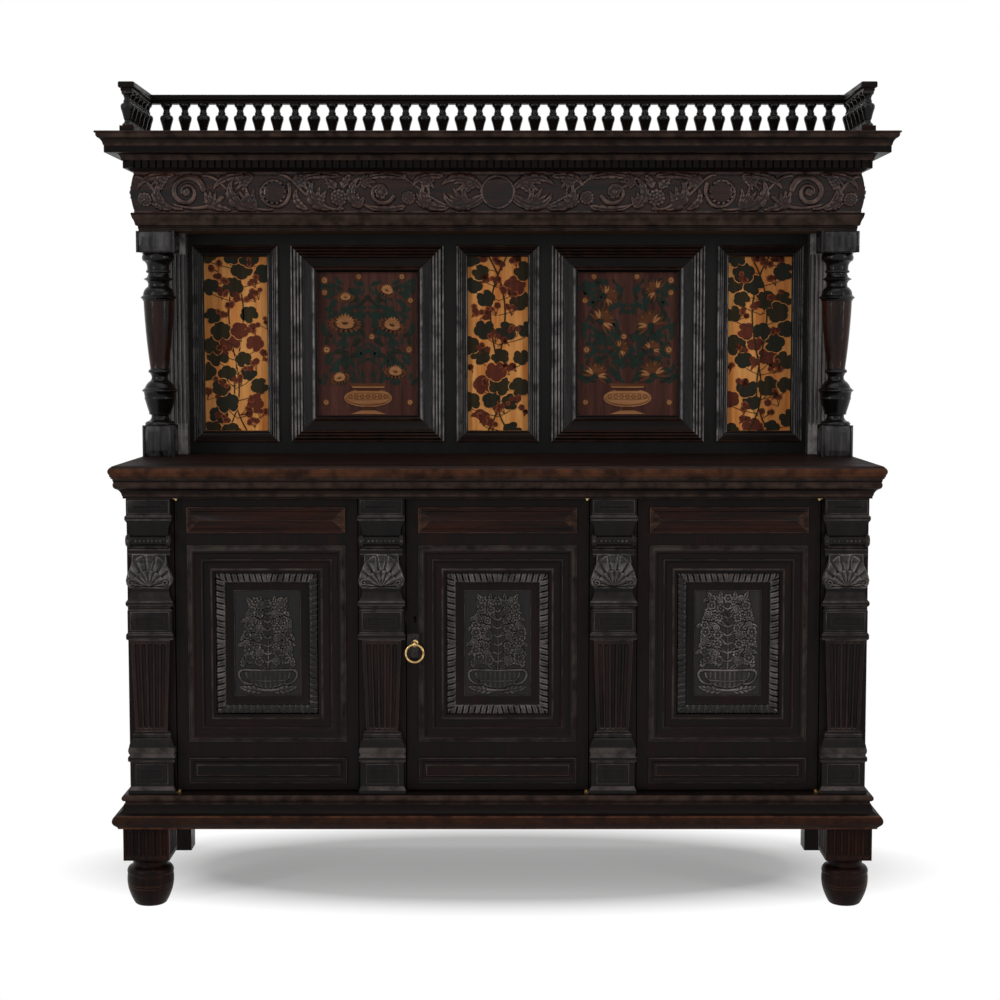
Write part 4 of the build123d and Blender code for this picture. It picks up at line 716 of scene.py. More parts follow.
def columns():
    low, high = COLUMN_LOW[2] + BLOCK_WIDTH, COLUMN_HIGH[2] - UPPER_BLOCK
    foot = outline((0, 0), (33.5, 0), (33.5, 4), (30, 8), ((22, 12), (19.4, 18)), (19.6, 22), (24.5, 24),
                   (24.5, 28), ((29, 42), (33, 56)), (34.2, 58), (34.2, 61), (33.6, 62), (35.5, 73),
                   (40.2, 76.5), (34.5, 82), (33, 83), ((28, 92), (20.2, 99)), (19, 101),
                   ((17.8, 105), (19.4, 112)), (21, 115), ((24.8, 120), (21, 124)), (20.4, 127))
    shaft = outline((20.4, 127), ((27.4, 188), (33.3, high - low - 106)))
    head = outline((33.3, -106), (35, -105), (35, -103), (40.2, -98), (34.2, -93), (33.8, -90),
                   ((30, -80), (23.5, -74)), (22.3, -68), (25, -62), (32.7, -57.5), (25, -53), (22.3, -47),
                   (22.3, -44), ((27.2, -41), (24, -37)), (24.5, -32), ((26, -24), (33.5, -17)),
                   ((35.6, -11), (34, -4)), (33, 0), (0, 0))
    column = Shape()
    for profile, base, finish in ((foot, low, 0), (shaft, low, 1), (head, high, 0)):
        lathe(column, softened(profile, 0.7), (0, 0, base), finish=finish)
    # The fielded blocks take the pale painted-reflection finish.
    column.join(fielded_block(BLOCK_WIDTH, COLUMN_LOW[2], low, 2))
    column.join(fielded_block(UPPER_BLOCK_WIDTH, high, COLUMN_HIGH[2], 2))
    half = UPPER_BLOCK_WIDTH / 2
    pair = Shape().pair(column, (COLUMN_HIGH[0] - half, COLUMN_LOW[1] + half, 0))
    piece("turned_columns", pair, "columns", (TURNED_Z, SHAFT_Z, BLOCK_SHEEN_Z))


def fluted_face(width, z0, z1, face, count, pitch, flute, depth, stops, step=2.0):
    """An upright face at y = face, with round-ended flutes, as arrays of x, y and z."""
    across = np.arange(-width / 2, width / 2 + 0.01, width / round(width / 1.2))
    up = np.arange(z0, z1 + 0.01, (z1 - z0) / round((z1 - z0) / step))
    x, z = np.meshgrid(across, up)
    place = np.abs(x[..., None] - (np.arange(count) - (count - 1) / 2) * pitch).min(axis=-1)
    over = np.maximum(np.maximum(stops[0] + flute / 2 - z, z - stops[1] + flute / 2), 0)
    inside = 1 - (place ** 2 + over ** 2) / (flute / 2) ** 2
    return x, face + depth * np.sqrt(np.maximum(inside, 0)), z


def fluted_block(width, z0, z1, *flutes):
    """A square block with the same flutes on each side, open at its top."""
    side, half = Shape(), width / 2
    surface(side, *fluted_face(width, z0, z1, -half, *flutes))
    return Shape().square(side).flat([(-half, -half, z0), (half, -half, z0), (half, half, z0),
                                      (-half, half, z0)])


def front_feet():
    """Fluted blocks on ringed bun feet."""
    z, top = FOOT_BLOCK_Z, FEET_HIGH[2]
    foot = fluted_block(FOOT_WIDTH, z, top, 6, FOOT_WIDTH / 6.4, 10.5, 4.0, (z + 7, top - 3))
    rings = outline((0, 0), (30, 0), (33, 2), ((42, 20), (47.4, 38)), (46.8, 38.8), (47.6, 39.8), (48.2, 44),
                    (47.6, 44.8), (48.5, 45.8), ((BUN_RADIUS - 0.2, 54), (48.2, 64)), (47.2, 66), (48.4, 68),
                    ((47.6, 76), (41.5, 82)), (38, 83.5), (36.3, 86), (36.3, 90),
                    ((38.5, 96), (44.5, z - 1)), (44.5, z), (0, z))
    lathe(foot, softened(rings, 0.5))
    pair = Shape().pair(foot, (FEET_HIGH[0] - BUN_RADIUS, FEET_LOW[1] + BUN_RADIUS, 0))
    piece("turned_front_feet", pair, "front_feet", (RED_Z,))


def rear_feet():
    width, top = REAR_HIGH[1] - REAR_LOW[1], REAR_HIGH[2]
    foot = fluted_block(width, 0, top, 4, width / 4.6, 8, 3.0, (84, top - 8), 4.0)
    half = width / 2
    pair = Shape().pair(foot, (REAR_HIGH[0] - half, REAR_HIGH[1] - half, 0))
    piece("fluted_rear_feet", pair, "rear_feet", (OAK_Z,))


base_moulding()
crown_moulding()
sideboard_top()
entablature()
balusters()
gallery_cap()
columns()
front_feet()
rear_feet()


# ---- relief
def bezier(points, count=24):
    """Points along a smooth curve that is led by the given ones."""
    points = np.array(points, float)
    share = np.linspace(0, 1, count)[:, None]
    level = [points[k][None, :] + 0 * share for k in range(len(points))]
    while len(level) > 1:
        level = [a + (b - a) * share for a, b in zip(level, level[1:])]
    return level[0]


class Relief:
    """A carved ground: forms are laid on it one over another, and the highest shows."""

    def __init__(self, x0, x1, z0, z1, step):
        self.x, self.z = np.meshgrid(np.linspace(x0, x1, round((x1 - x0) / step) + 1),
                                     np.linspace(z0, z1, round((z1 - z0) / step) + 1))
        self.high = np.zeros_like(self.x)

    def near(self, x, z, reach):
        """The part of the grid within reach of a point, as index ranges."""
        columns = np.searchsorted(self.x[0], (x - reach, x + reach))
        rows = np.searchsorted(self.z[:, 0], (z - reach, z + reach))
        return slice(*rows), slice(*columns)

    def lay(self, part, height):
        self.high[part] = np.maximum(self.high[part], height)

    def bead(self, x, z, radius, height, flat=1.0):
        part = self.near(x, z, radius)
        d2 = ((self.x[part] - x) ** 2 + (self.z[part] - z) ** 2) / radius ** 2
        self.lay(part, height * np.maximum(1 - d2, 0) ** (0.5 * flat))

    def stem(self, points, width, height, end=0.35):
        """A rounded stalk along a curve, thinning to a share of its width."""
        path = bezier(points, 40)
        for k, (x, z) in enumerate(path):
            self.bead(x, z, width * (1 - (1 - end) * k / 39), height * (1 - (1 - end) * 0.5 * k / 39))

    def leaf(self, x, z, length, angle, width, height, curl=0.0, lobes=4):
        """A lobed leaf from its stalk's end. Angle is from +x, in degrees."""
        turn = math.radians(angle)
        part = self.near(x + 0.5 * length * math.cos(turn), z + 0.5 * length * math.sin(turn), 0.75 * length)
        u, v = turned((self.x[part] - x) / length, (self.z[part] - z) / length, -turn)
        side = np.abs(v - curl * u * u) * length / width
        inside_u = np.clip(u, 0.001, 0.999)

        def ripple(depth, slant):
            return 1 - depth * (0.5 + 0.5 * np.cos(TAU * (lobes * inside_u - slant * side)))

        across = side / (np.sin(math.pi * inside_u ** 0.8) ** 0.7 * ripple(0.22, 0.6) + 1e-6 / width)
        body = np.sqrt(np.maximum(1 - across ** 2, 0))
        vein = 1 - 0.45 * np.exp(-(across / 0.16) ** 2)
        self.lay(part, np.where((u > 0) & (u < 1) & (across < 1),
                                height * (0.25 + 0.75 * body) * vein * ripple(0.22, 0.9), 0))

    def plume(self, points, width, height, lobes=5):
        """A long lobed leaf that bends along a curve, with a raised rim on each side of its vein."""
        path = bezier(points, 48)
        low, high = path.min(axis=0) - width, path.max(axis=0) + width
        part = (slice(*np.searchsorted(self.z[:, 0], (low[1], high[1]))),
                slice(*np.searchsorted(self.x[0], (low[0], high[0]))))
        gap = np.hypot(self.x[part][..., None] - path[:, 0], self.z[part][..., None] - path[:, 1])
        share = gap.argmin(axis=-1) / 47
        reach = width * (np.sin(math.pi * np.clip(share, 0.01, 0.99) ** 0.7) ** 0.8 + 0.12)
        reach = reach * (0.80 + 0.20 * np.abs(np.sin(math.pi * lobes * share)))
        across = np.minimum(gap.min(axis=-1) / reach, 1)
        body = np.sqrt(1 - across ** 2) * (1 - 0.35 * np.exp(-(across / 0.2) ** 2))
        self.lay(part, height * body * (0.72 + 0.28 * np.abs(np.sin(math.pi * lobes * share))))

    def fan(self, x, z, length, angle, spread, count, width, height, bend=40):
        """Long leaves side by side that part from one point and bend the same way."""
        for k in range(count):
            lean = math.radians(angle + spread * (k / (count - 1) - 0.5))
            tip = lean + math.radians(bend)
            reach = length * (1 - 0.22 * abs(2 * k / (count - 1) - 1))
            half = (x + 0.5 * reach * math.cos(lean), z + 0.5 * reach * math.sin(lean))
            self.plume([(x, z), half, (half[0] + 0.5 * reach * math.cos(tip),
                                       half[1] + 0.5 * reach * math.sin(tip))], width, height, 4)

    def flower(self, x, z, radius, petals, height, turn=0.0):
        """An open flower with cupped petals and a round heart."""
        part = self.near(x, z, radius)
        dx, dz = self.x[part] - x, self.z[part] - z
        r = np.hypot(dx, dz) / radius
        wave = np.abs(np.cos(petals * (np.arctan2(dz, dx) - math.radians(turn)) / 2))
        edge = 0.70 + 0.30 * wave ** 0.6
        cup = 0.45 + 0.55 * np.clip(r / edge, 0, 1) ** 1.5
        body = np.where(r < edge, height * cup * (0.55 + 0.45 * wave ** 0.5), 0)
        body *= np.clip((edge - r) / 0.12, 0, 1) ** 0.5
        self.lay(part, body)
        self.bead(x, z, 0.3 * radius, height)

    def spiral(self, x, z, radius, turns, start, hand, width, height, heart=0.28):
        """A stalk that winds inwards to a button."""
        share = np.linspace(0, 1, int(90 * turns))
        angle = math.radians(start) + hand * TAU * turns * share
        reach = radius * (1 - (1 - heart) * share ** 0.8)
        for a, r, s in zip(angle, reach, share):
            self.bead(x + r * math.cos(a), z + r * math.sin(a), width * (1 - 0.55 * s),
                      height * (1 - 0.25 * s))
        self.bead(x, z, heart * radius, height * 1.1)

    def berries(self, x, z, radius, size, height):
        """A close bunch of round fruit."""
        for ring, count in enumerate((1, 6, 11)):
            for k in range(count):
                angle = TAU * (k + 0.4 * ring) / count
                r = radius * ring / 2.6
                self.bead(x + r * math.cos(angle), z + r * math.sin(angle), size, height * (1 - 0.12 * ring))

    def mirror(self):
        """The same carving on both sides of x = 0."""
        self.high = np.maximum(self.high, self.high[:, ::-1])


# ---- pilasters
SUNK_FIELD = [(0, 0), (1, 1.0), (11, 4.2), (12, 4.4), (12.6, 4.4), (13.2, 3.0), (14, 3.0)]


def stepped(shape, steps):
    """The pilaster's outline on its front and both sides, drawn as (inset, height)."""
    profile = softened([(-inset, z) for inset, z in outline(*steps)], 0.9)
    wrapped(shape, profile, PILASTER_HALF, -PILASTER_DEPTH, 0, (0, 0))


def pilaster_shaft(shape):
    """It widens and comes forward towards its top, with five round-ended flutes."""
    across, z = np.meshgrid(np.linspace(-1, 1, 81), np.linspace(*SHAFT, 90))
    share = (z - SHAFT[0]) / (SHAFT[1] - SHAFT[0])
    half = 33 + 8 * share
    depth = 17 + 4 * share
    x = across * half
    flute = 0.115 * half
    place = np.minimum.reduce([np.abs(x - k * 0.34 * half) for k in range(-2, 3)])
    over = np.maximum(np.maximum(SHAFT[0] + 7 + flute - z, z - SHAFT[1] + 7 + flute), 0)
    sunk = 4.0 * np.sqrt(np.maximum(1 - (place ** 2 + over ** 2) / flute ** 2, 0))
    surface(shape, x, sunk - depth, z, back=0.0, finish=1)


def shell_console(shape):
    """A scallop with an inner leaf and curled lower ends, on a bell that bulges forward."""
    low, high = SHELL
    across, share = np.meshgrid(np.linspace(-1, 1, 97), np.linspace(0, 1, 74))
    z = low + (high - low) * share
    half = np.interp(share, (0, 0.1, 0.25, 0.45, 0.7, 1.0), (40, 46, 48, 43.5, 36, 35))
    x = across * half
    bulge = np.interp(share, (0, 0.12, 0.28, 0.5, 0.78, 1.0), (0, 8, 11, 8, 2, 0))
    forward = PILASTER_DEPTH - 5 + bulge * (0.45 + 0.55 * np.sqrt(np.maximum(1 - across ** 2, 0)))
    centre = low + 4
    r = np.hypot(x, z - centre)
    angle = np.arctan2(x, z - centre)
    edge = 69 - 17 * np.abs(angle)
    rib = np.abs(np.cos(angle * math.pi / 0.36)) ** 0.8
    carve = 4.2 * rib * np.clip((r - 6) / 16, 0, 1) * np.clip((edge + 4 * rib - r) / 3, 0, 1)
    inner = np.abs(np.cos((angle + 0.2) * math.pi / 0.4)) ** 0.7
    carve = np.maximum(carve, np.where(r < 30 + 5 * inner, 2.6 + 2.6 * inner * np.clip(r / 12, 0, 1), 0)
                       * (np.abs(angle) < 1.25))
    for hand in HANDS:
        dx, dz = x - hand * 36, z - low - 12
        around = np.hypot(dx, dz)
        coil = 0.72 + 0.28 * np.cos(TAU * around / 6.0 - hand * np.arctan2(dz, dx))
        carve = np.maximum(carve, 6.0 * np.sqrt(np.maximum(1 - (around / 12) ** 2, 0)) * coil)
    surface(shape, x, -forward - carve * 0.9, z, back=0.0, finish=2)


def bead_roll(shape):
    """A level roll with a row of beads and round buttons at its ends."""
    y = -PILASTER_DEPTH + 8
    half = [(0, 10.5), (34, 10.5), (36, 12), (39, 14), (44, 14), (47.5, 11), (48.5, 6), (48.5, 0.01)]
    profile = [(-x, r) for x, r in half[:0:-1]] + half
    rows = np.array([[(x, y - r * math.cos(a), ROLL_HEIGHT + r * math.sin(a)) for a in circle(28)]
                     for x, r in softened(profile, 1.0)])
    shape.grid(rows, closed=True)
    for k in range(-3, 4):
        ball(shape, (k * 8.6, y - 10.5, ROLL_HEIGHT), 3.0)
    for hand in HANDS:
        ball(shape, (hand * 41.5, y - 12.0, ROLL_HEIGHT), 5.0, 16)


def pilaster():
    shape = Shape()
    high = SHELL[1]
    stepped(shape, [(0, 0), (0, 8), ((2, 11), (4, 15)), (4, 67), (1, 68.5), (0, 70), (0, 78), (3, 80),
                    (3, 83), ((0.6, 90), (2, 98)), ((5, 109), (12, 118)), (9, 119), (9, 124),
                    (11, 125), (11, SHAFT[0]), (24, SHAFT[0])])
    stepped(shape, [(24, SHAFT[1]), (3, SHAFT[1]), (0, SHAFT[1] + 3), (0, SHAFT[1] + 12), (3, 340),
                    (3, 387), (6, 388), (6, 393), (3, 394.5), (0, 398), (0, 404), (1.5, 406),
                    ((6, 413), (9, 424)), (9, 437), (18, 441), (18, high - 6), (7, high - 5),
                    (5, high), (5, 513), (7, 515), (9, 518), (9, 546), ((7, 562), (1, 574)), (0, 576),
                    (0, 582), (3, 585), (3, PILASTER_HEIGHT)])
    for half, low, top, sunk in ((34, 20, 63, 4), (41, 344, 384, 3), (43, 588, 617, 3)):
        terrace(shape, SUNK_FIELD, (-half, low), (half, top), sunk - PILASTER_DEPTH)
    pilaster_shaft(shape)
    shell_console(shape)
    bead_roll(shape)
    return shape


one_pilaster = pilaster()
for place in ("corner", "centre"):
    node = f"{place}_pilasters"
    centre = (HALF if place == "corner" else box(node)[1][0]) - PILASTER_HALF
    piece("carved_" + node, Shape().pair(one_pilaster, (centre, Y_FRAME, STILES_LOW[2])), node,
          (PILASTER_Z, FLUTED_Z, SHELL_Z))


# ---- doors
def door_piece(side, name, shape, part, finishes):
    piece(f"{side}_door_{name}", shape, f"{side}_door_{part}", finishes, f"{side}_door")


def door_moulding(side, low, high, face):
    shape, w = Shape(), DOOR_MOULDING
    profile = outline((0, 0), (0, 2.6), (1, 3.2), (4, 3.6), ((7.5, 9), (12, 11)), (15, 11), (16, 9.4),
                      (17, 8), ((23, 6.8), (29, 4.2)), (29.5, 6.2), (33.5, 6.6), (34.5, 4.2), (36, 3),
                      (w - 9.5, 2.8), (w - 9, 4), ((w - 6, 6), (w - 3, 4)), (w - 2.5, 2.8), (w, 2.4), (w, 0))
    framed(shape, softened(profile, 0.7), low, high, face)
    door_piece(side, "stepped_moulding", shape, "moulding", (OAK_X, OAK_Z))


def leaf_band(shape, length, band, place, finish):
    """One mitred length of the leaf-carved band. place turns (along, inward, forward) into points."""
    along, inward = np.meshgrid(np.linspace(0, 1, round(length / 0.9)), np.linspace(0, band, 19))
    s = inward + along * (length - 2 * inward)
    away = np.abs(s - length / 2)
    arch = np.sqrt(np.maximum(1 - (2 * inward / band - 1) ** 2, 0))
    phase = away / 12.5 + 0.35 * (inward / band)
    lobe = np.abs(np.sin(math.pi * phase))
    vein = np.exp(-(((phase % 1) - 0.5) / 0.09) ** 2)
    tip = np.abs(np.sin(math.pi * (phase * 3)))
    carve = arch * (1.2 + 4.0 * lobe ** 0.8 - 1.3 * vein + 0.7 * tip)
    shape.grid(place(s, inward, carve - 3.0), finish=finish)


def carved_frame(side, low, high, face):
    shape = Shape()
    x0, x1, z0, z1 = low[0], high[0], low[2], high[2]
    band, sight = LEAF_BAND, LEAF_SIGHT

    def side_of(upright, flip):
        def place(s, inward, forward):
            y = face - forward
            if upright:
                return np.stack([x1 - inward if flip else x0 + inward, y, z0 + s], axis=-1)
            return np.stack([x0 + s, y, z1 - inward if flip else z0 + inward], axis=-1)
        return place

    for flip in (False, True):
        leaf_band(shape, x1 - x0, band, side_of(False, flip), 1)
        leaf_band(shape, z1 - z0, band, side_of(True, flip), 1)
    framed(shape, [(0, -14), (0, -3.0)], low, high, face, (1, 1))
    profile = outline((band, -3.0), (band + 1.5, -3.2), (band + 2.5, -4.6), (sight - 2, -8.2),
                      (sight - 1, -7.2), (sight, -7.6), (sight, -12))
    framed(shape, softened(profile, 0.5), low, high, face, (0, 0))
    door_piece(side, "leaf_frame", shape, "carved_frame", (OAK_Z, CARVED_Z))


def bouquet(side):
    """A two-handled bowl of flowers in low relief, with its own flowers on each door."""
    art = Relief(-BOUQUET_HALF, BOUQUET_HALF, 0, BOUQUET_HEIGHT, BOUQUET_STEP)
    deep, top, spread, drift = {"left": (5.4, 194, 44, 0), "centre": (5.8, 200, 49, 1.3),
                                "right": (6.4, 205, 50, 2.4)}[side]
    for hand in HANDS:
        art.leaf(hand * 10, 8, 52, 90 - hand * 84, 9, deep * 0.5, hand * 0.08, 5)
        art.stem([(hand * 46, 52), (hand * 70, 60), (hand * 64, 20), (hand * 34, 24)], 3.2, deep * 0.6, 0.7)
        art.leaf(hand * 50, 58, 22, 90 - hand * 20, 7, deep * 0.6, hand * 0.2, 3)
    inside = np.sqrt(np.maximum(1 - (art.x / 49) ** 2 - ((art.z - 52) / 38) ** 2, 0)) * (art.z < 54)
    ribs = 1 - 0.14 * (0.5 + 0.5 * np.cos(art.x * 0.62))
    art.high = np.maximum(art.high, deep * 0.85 * inside ** 0.6 * ribs)
    for half, low, dip, width, share in ((50, 54, 51, 3.0, 0.9), (40, 33, 27, 1.6, 0.95),
                                         (22, 12, 9, 3.4, 0.75)):
        art.stem([(-half, low), (0, dip), (half, low)], width, deep * share, 1.0)
    art.stem([(0, 56), (4, 104), (-3, 148), (0, top)], 2.4, deep * 0.5)
    for row in range(8):
        share = row / 7
        z = 66 + (top - 76) * share
        wide = spread * (0.86 + 0.26 * math.sin(math.pi * share)) * (1 - 0.30 * share)
        for hand in HANDS:
            lean = 7 * math.sin(2.1 * row + drift)
            for part in (0.46, 1.0):
                x = hand * wide * part + 0.35 * lean
                z_tip = z + 12 * part + 0.4 * lean
                size = (11.5 - 2.6 * share + 0.15 * lean) * (0.8 + 0.25 * part)
                art.stem([(0, z - 14), (0.5 * x, z - 8), (x, z_tip)], 1.7, deep * 0.45)
                art.leaf(0.7 * x, z_tip - 8, 24, 90 - hand * (40 + 50 * part + 3 * lean), 7.0, deep * 0.62,
                         hand * 0.15, 4)
                art.leaf(x, z_tip, 19, 90 - hand * (120 + 4 * lean) * part, 6.0, deep * 0.55,
                         -hand * 0.2, 4)
                if (row + (hand > 0) + (part < 1)) % 3 == 2:
                    art.berries(x, z_tip, size * 0.8, 3.1, deep * 0.95)
                else:
                    art.flower(x, z_tip, size, 5 + row % 3, deep * (0.8 + 0.2 * part), 17 * row)
    for hand in HANDS:
        art.stem([(hand * 6, top - 30), (hand * 24, top - 6), (hand * 40, top + 2)], 1.5, deep * 0.4)
        art.leaf(hand * 30, top - 8, 26, 90 - hand * 34, 6.5, deep * 0.8, hand * 0.1, 3)
        art.leaf(hand * 14, top - 6, 22, 90 - hand * 8, 6.0, deep * 0.7, hand * 0.1, 3)
    art.flower(0, top, 10.5, 6, deep)
    return art


def carved_panel(side, low, high, face):
    art, shape = bouquet(side), Shape()
    front = face + PANEL_RELIEF
    x, _, z = (low + high) / 2
    surface(shape, art.x + x, front - art.high, art.z + z - BOUQUET_HEIGHT / 2)
    framed(shape, [(0, 0), (LEAF_SIGHT, 0)], low, high, front)
    board(shape, low[0], high[0], front + 0.5, high[1], low[2], high[2], 0.2, 1)
    # The right door's carving takes the lighter copy, a painted light.
    door_piece(side, "bouquet", shape, "carved_panel", (CARVED_LIT_Z if side == "right" else CARVED_Z, OAK_Z))


def small_panels(side, low, high, face):
    """A hipped panel on the top rail and a fielded one on the bottom rail."""
    shape = Shape()
    rim = [(0, 0), (0, 4.6), (1, 5.2), (6, 5.2), (7.5, 4.6), (9.5, 2.2)]
    hipped = rim + [(15, 1.8), (16.5, 2.2), (26.6, 8.6), (26.8, 8.6)]
    fielded = rim + [(13, 1.8), (15.5, 3.6), (16.5, 3.8), (18, 3.8)]
    # The sloping ends of the hipped panel take the lighter painted-light finish.
    terrace(shape, hipped, (low[0], high[2] - SMALL_PANEL), high, face, 0, 2)
    terrace(shape, fielded, low, (high[0], low[2] + SMALL_PANEL), face, 1)
    door_piece(side, "fielded_panels", shape, "small_panels", (HIP, OAK_X, HIP_END_LIT))


for side in SIDES:
    for part, make in (("moulding", door_moulding), ("carved_frame", carved_frame),
                       ("carved_panel", carved_panel), ("small_panels", small_panels)):
        make(side, *box(f"{side}_door_{part}"), box(f"{side}_door_frame")[0][1])


# ---- frieze
def plumes(art, mid, height, rows):
    for points, width in rows:
        art.plume([(x, mid + z) for x, z in points], width, height)


def frieze_art():
    """Scrolls, fruit, rosettes and long leaves that spread from a boss at the middle."""
    mid = FRIEZE_HEIGHT / 2
    art = Relief(-FRIEZE_HALF, FRIEZE_HALF, 0, FRIEZE_HEIGHT, FRIEZE_STEP)
    for points in ([(36, -20), (70, -50), (130, -40), (170, 10), (214, 38)],
                   [(206, 36), (250, 48), (306, 40), (322, -8), (352, -36)],
                   [(344, -36), (390, -46), (436, 0), (446, 34), (480, 38)],
                   [(500, -38), (548, -46), (590, -8), (604, 34), (650, 36)],
                   [(700, -36), (738, -40), (752, 0), (760, 26), (796, 34)]):
        art.stem([(x, mid + z) for x, z in points], 4.0, 6.0, 0.8)
    for x, z, length, angle, spread, count, bend in (
            (42, 20, 62, 6, 56, 4, -34), (58, -34, 66, 24, 50, 4, 30), (150, -30, 46, 34, 70, 4, 44),
            (168, 34, 44, 214, 60, 4, 40), (300, 34, 40, 232, 70, 4, -40), (304, -34, 36, 66, 60, 3, 40),
            (388, -34, 56, 52, 64, 4, 50), (450, 32, 50, 196, 56, 4, 30), (532, -34, 58, 34, 60, 4, 44),
            (540, 34, 52, -14, 50, 4, -40), (640, -34, 44, 132, 60, 4, -40), (728, 34, 46, -20, 60, 4, -44),
            (734, -34, 42, 30, 60, 3, 40)):
        art.fan(x, mid + z, length, angle, spread, count, 7.0, 7.6, bend)
    art.bead(0, mid, 32, 9.5, 1.1)
    art.spiral(0, mid, 36, 1.0, 0, 1, 3.6, 7.5, heart=0.96)
    plumes(art, mid, 8.5, (([(34, -6), (66, -38), (112, -36), (118, -2)], 12),
                           ([(34, 6), (60, 38), (104, 40), (124, 14)], 11),
                           ([(112, -34), (150, -40), (178, -18), (162, 16)], 12),
                           ([(120, 34), (146, 40), (182, 36), (186, 12)], 10),
                           ([(208, 30), (232, 42), (272, 42), (298, 22)], 9),
                           ([(204, -30), (230, -42), (274, -42), (300, -24)], 9),
                           ([(306, -34), (330, -16), (326, 18), (304, 32)], 11),
                           ([(372, -36), (404, -34), (424, -6), (404, 26)], 13),
                           ([(350, 34), (380, 42), (424, 40), (440, 20)], 10),
                           ([(420, -36), (444, -32), (450, -10), (440, 8)], 9),
                           ([(536, -38), (572, -38), (600, -8), (584, 26)], 14),
                           ([(542, 36), (574, 42), (612, 34), (624, 6)], 11),
                           ([(592, -38), (620, -40), (642, -24), (642, 2)], 10),
                           ([(716, 36), (748, 42), (784, 36), (790, 6)], 11),
                           ([(724, -36), (750, -32), (758, -4), (738, 20)], 12)))
    art.berries(196, mid - 12, 15, 4.8, 8.5)
    art.spiral(256, mid, 29, 1.15, 200, 1, 5.6, 7.5)
    art.flower(256, mid, 16, 6, 8.5, 12)
    art.berries(349, mid - 12, 19, 5.4, 9.0)
    art.leaf(340, mid + 8, 34, 100, 12, 7.5, 0.2, 3)
    art.leaf(356, mid + 6, 34, 58, 12, 7.5, -0.2, 3)
    art.spiral(492, mid, 37, 0.95, 150, 1, 5.2, 7.5, heart=0.66)
    art.flower(492, mid, 16, 8, 8.5, 10)
    for k in range(14):
        art.bead(492 + 25 * math.cos(TAU * k / 14), mid + 25 * math.sin(TAU * k / 14), 4.0, 9.0)
    art.spiral(684, mid, 38, 1.5, 170, -1, 7.6, 9.0, heart=0.26)
    art.stem([(606, mid - 12), (630, mid - 36), (672, mid - 40), (712, mid - 28)], 5.5, 7.0, 0.6)
    art.berries(776, mid - 16, 15, 4.8, 8.5)
    art.mirror()
    return art


def return_art(length):
    """One scroll with leaves for each side of the frieze."""
    mid = FRIEZE_HEIGHT / 2
    art = Relief(0, length, 0, FRIEZE_HEIGHT, FRIEZE_STEP)
    art.spiral(112, mid, 36, 1.4, 180, 1, 7.0, 8.5, heart=0.25)
    plumes(art, mid, 8.0, (([(80, 20), (60, 40), (30, 36), (22, 20)], 12),
                           ([(78, -20), (60, -40), (34, -36), (30, -18)], 11),
                           ([(140, 24), (156, 42), (186, 36), (192, 14)], 12),
                           ([(140, -24), (156, -42), (186, -38), (194, -20)], 11)))
    art.berries(182, mid, 15, 4.8, 8.5)
    art.flower(22, mid, 17, 6, 8.0)
    return art


def frieze():
    """The carving on a swelling ground, in front and on both returns."""
    shape = Shape()
    z0, height = FRIEZE_LOW[2], FRIEZE_HEIGHT
    reach = FRIEZE_HIGH[0] - STAGE_HALF
    swell = outline((0.6 * reach, 0), ((reach, 0.6 * height), (0.6 * reach, height)))
    up, out = zip(*[(z, p) for p, z in swell])

    def carved(art, start, end):
        ground = np.interp(art.z, up, out) - FRIEZE_SUNK
        edge = np.minimum(art.z, height - art.z)
        live = np.interp(np.minimum(edge, np.minimum(art.x - start, end - art.x)), (2.0, 5.0), (0.0, 1.0))
        rim = 1.6 * np.interp(edge, (3.0, 4.5), (1.0, 0.0))
        return ground, ground + FRIEZE_SHARE * art.high * live + rim

    art = frieze_art()
    ground, out_front = carved(art, -FRIEZE_HALF, FRIEZE_HALF)
    surface(shape, art.x / FRIEZE_HALF * (STAGE_HALF + ground), Y_STAGE - out_front, art.z + z0,
            back=Y_STAGE)
    length = Y_BACK - Y_STAGE
    art = return_art(length)
    ground, out_side = carved(art, -20, length)
    y = Y_STAGE - ground + art.x / length * (length + ground)
    for hand in HANDS:
        points = np.stack([hand * (STAGE_HALF + out_side), y, art.z + z0], axis=-1)
        shape.grid(points)
        inner = np.array([(hand * STAGE_HALF, Y_BACK, z0 + height), (hand * STAGE_HALF, Y_BACK, z0)])
        shape.flat(np.concatenate([points[:, -1], inner]))
    piece("carved_frieze", shape, "frieze", (CARVED_X,))


frieze()


# ---- panelled wall
def reeds(start, width, count, forward, rise):
    """Points of a row of half-round reeds, as (inward, forward)."""
    points = []
    for k in range(count):
        for share in np.linspace(0, 1, 7)[:-1]:
            points.append((start + width * (k + share), forward + rise * math.sin(math.pi * share)))
    return points + [(start + width * count, forward)]


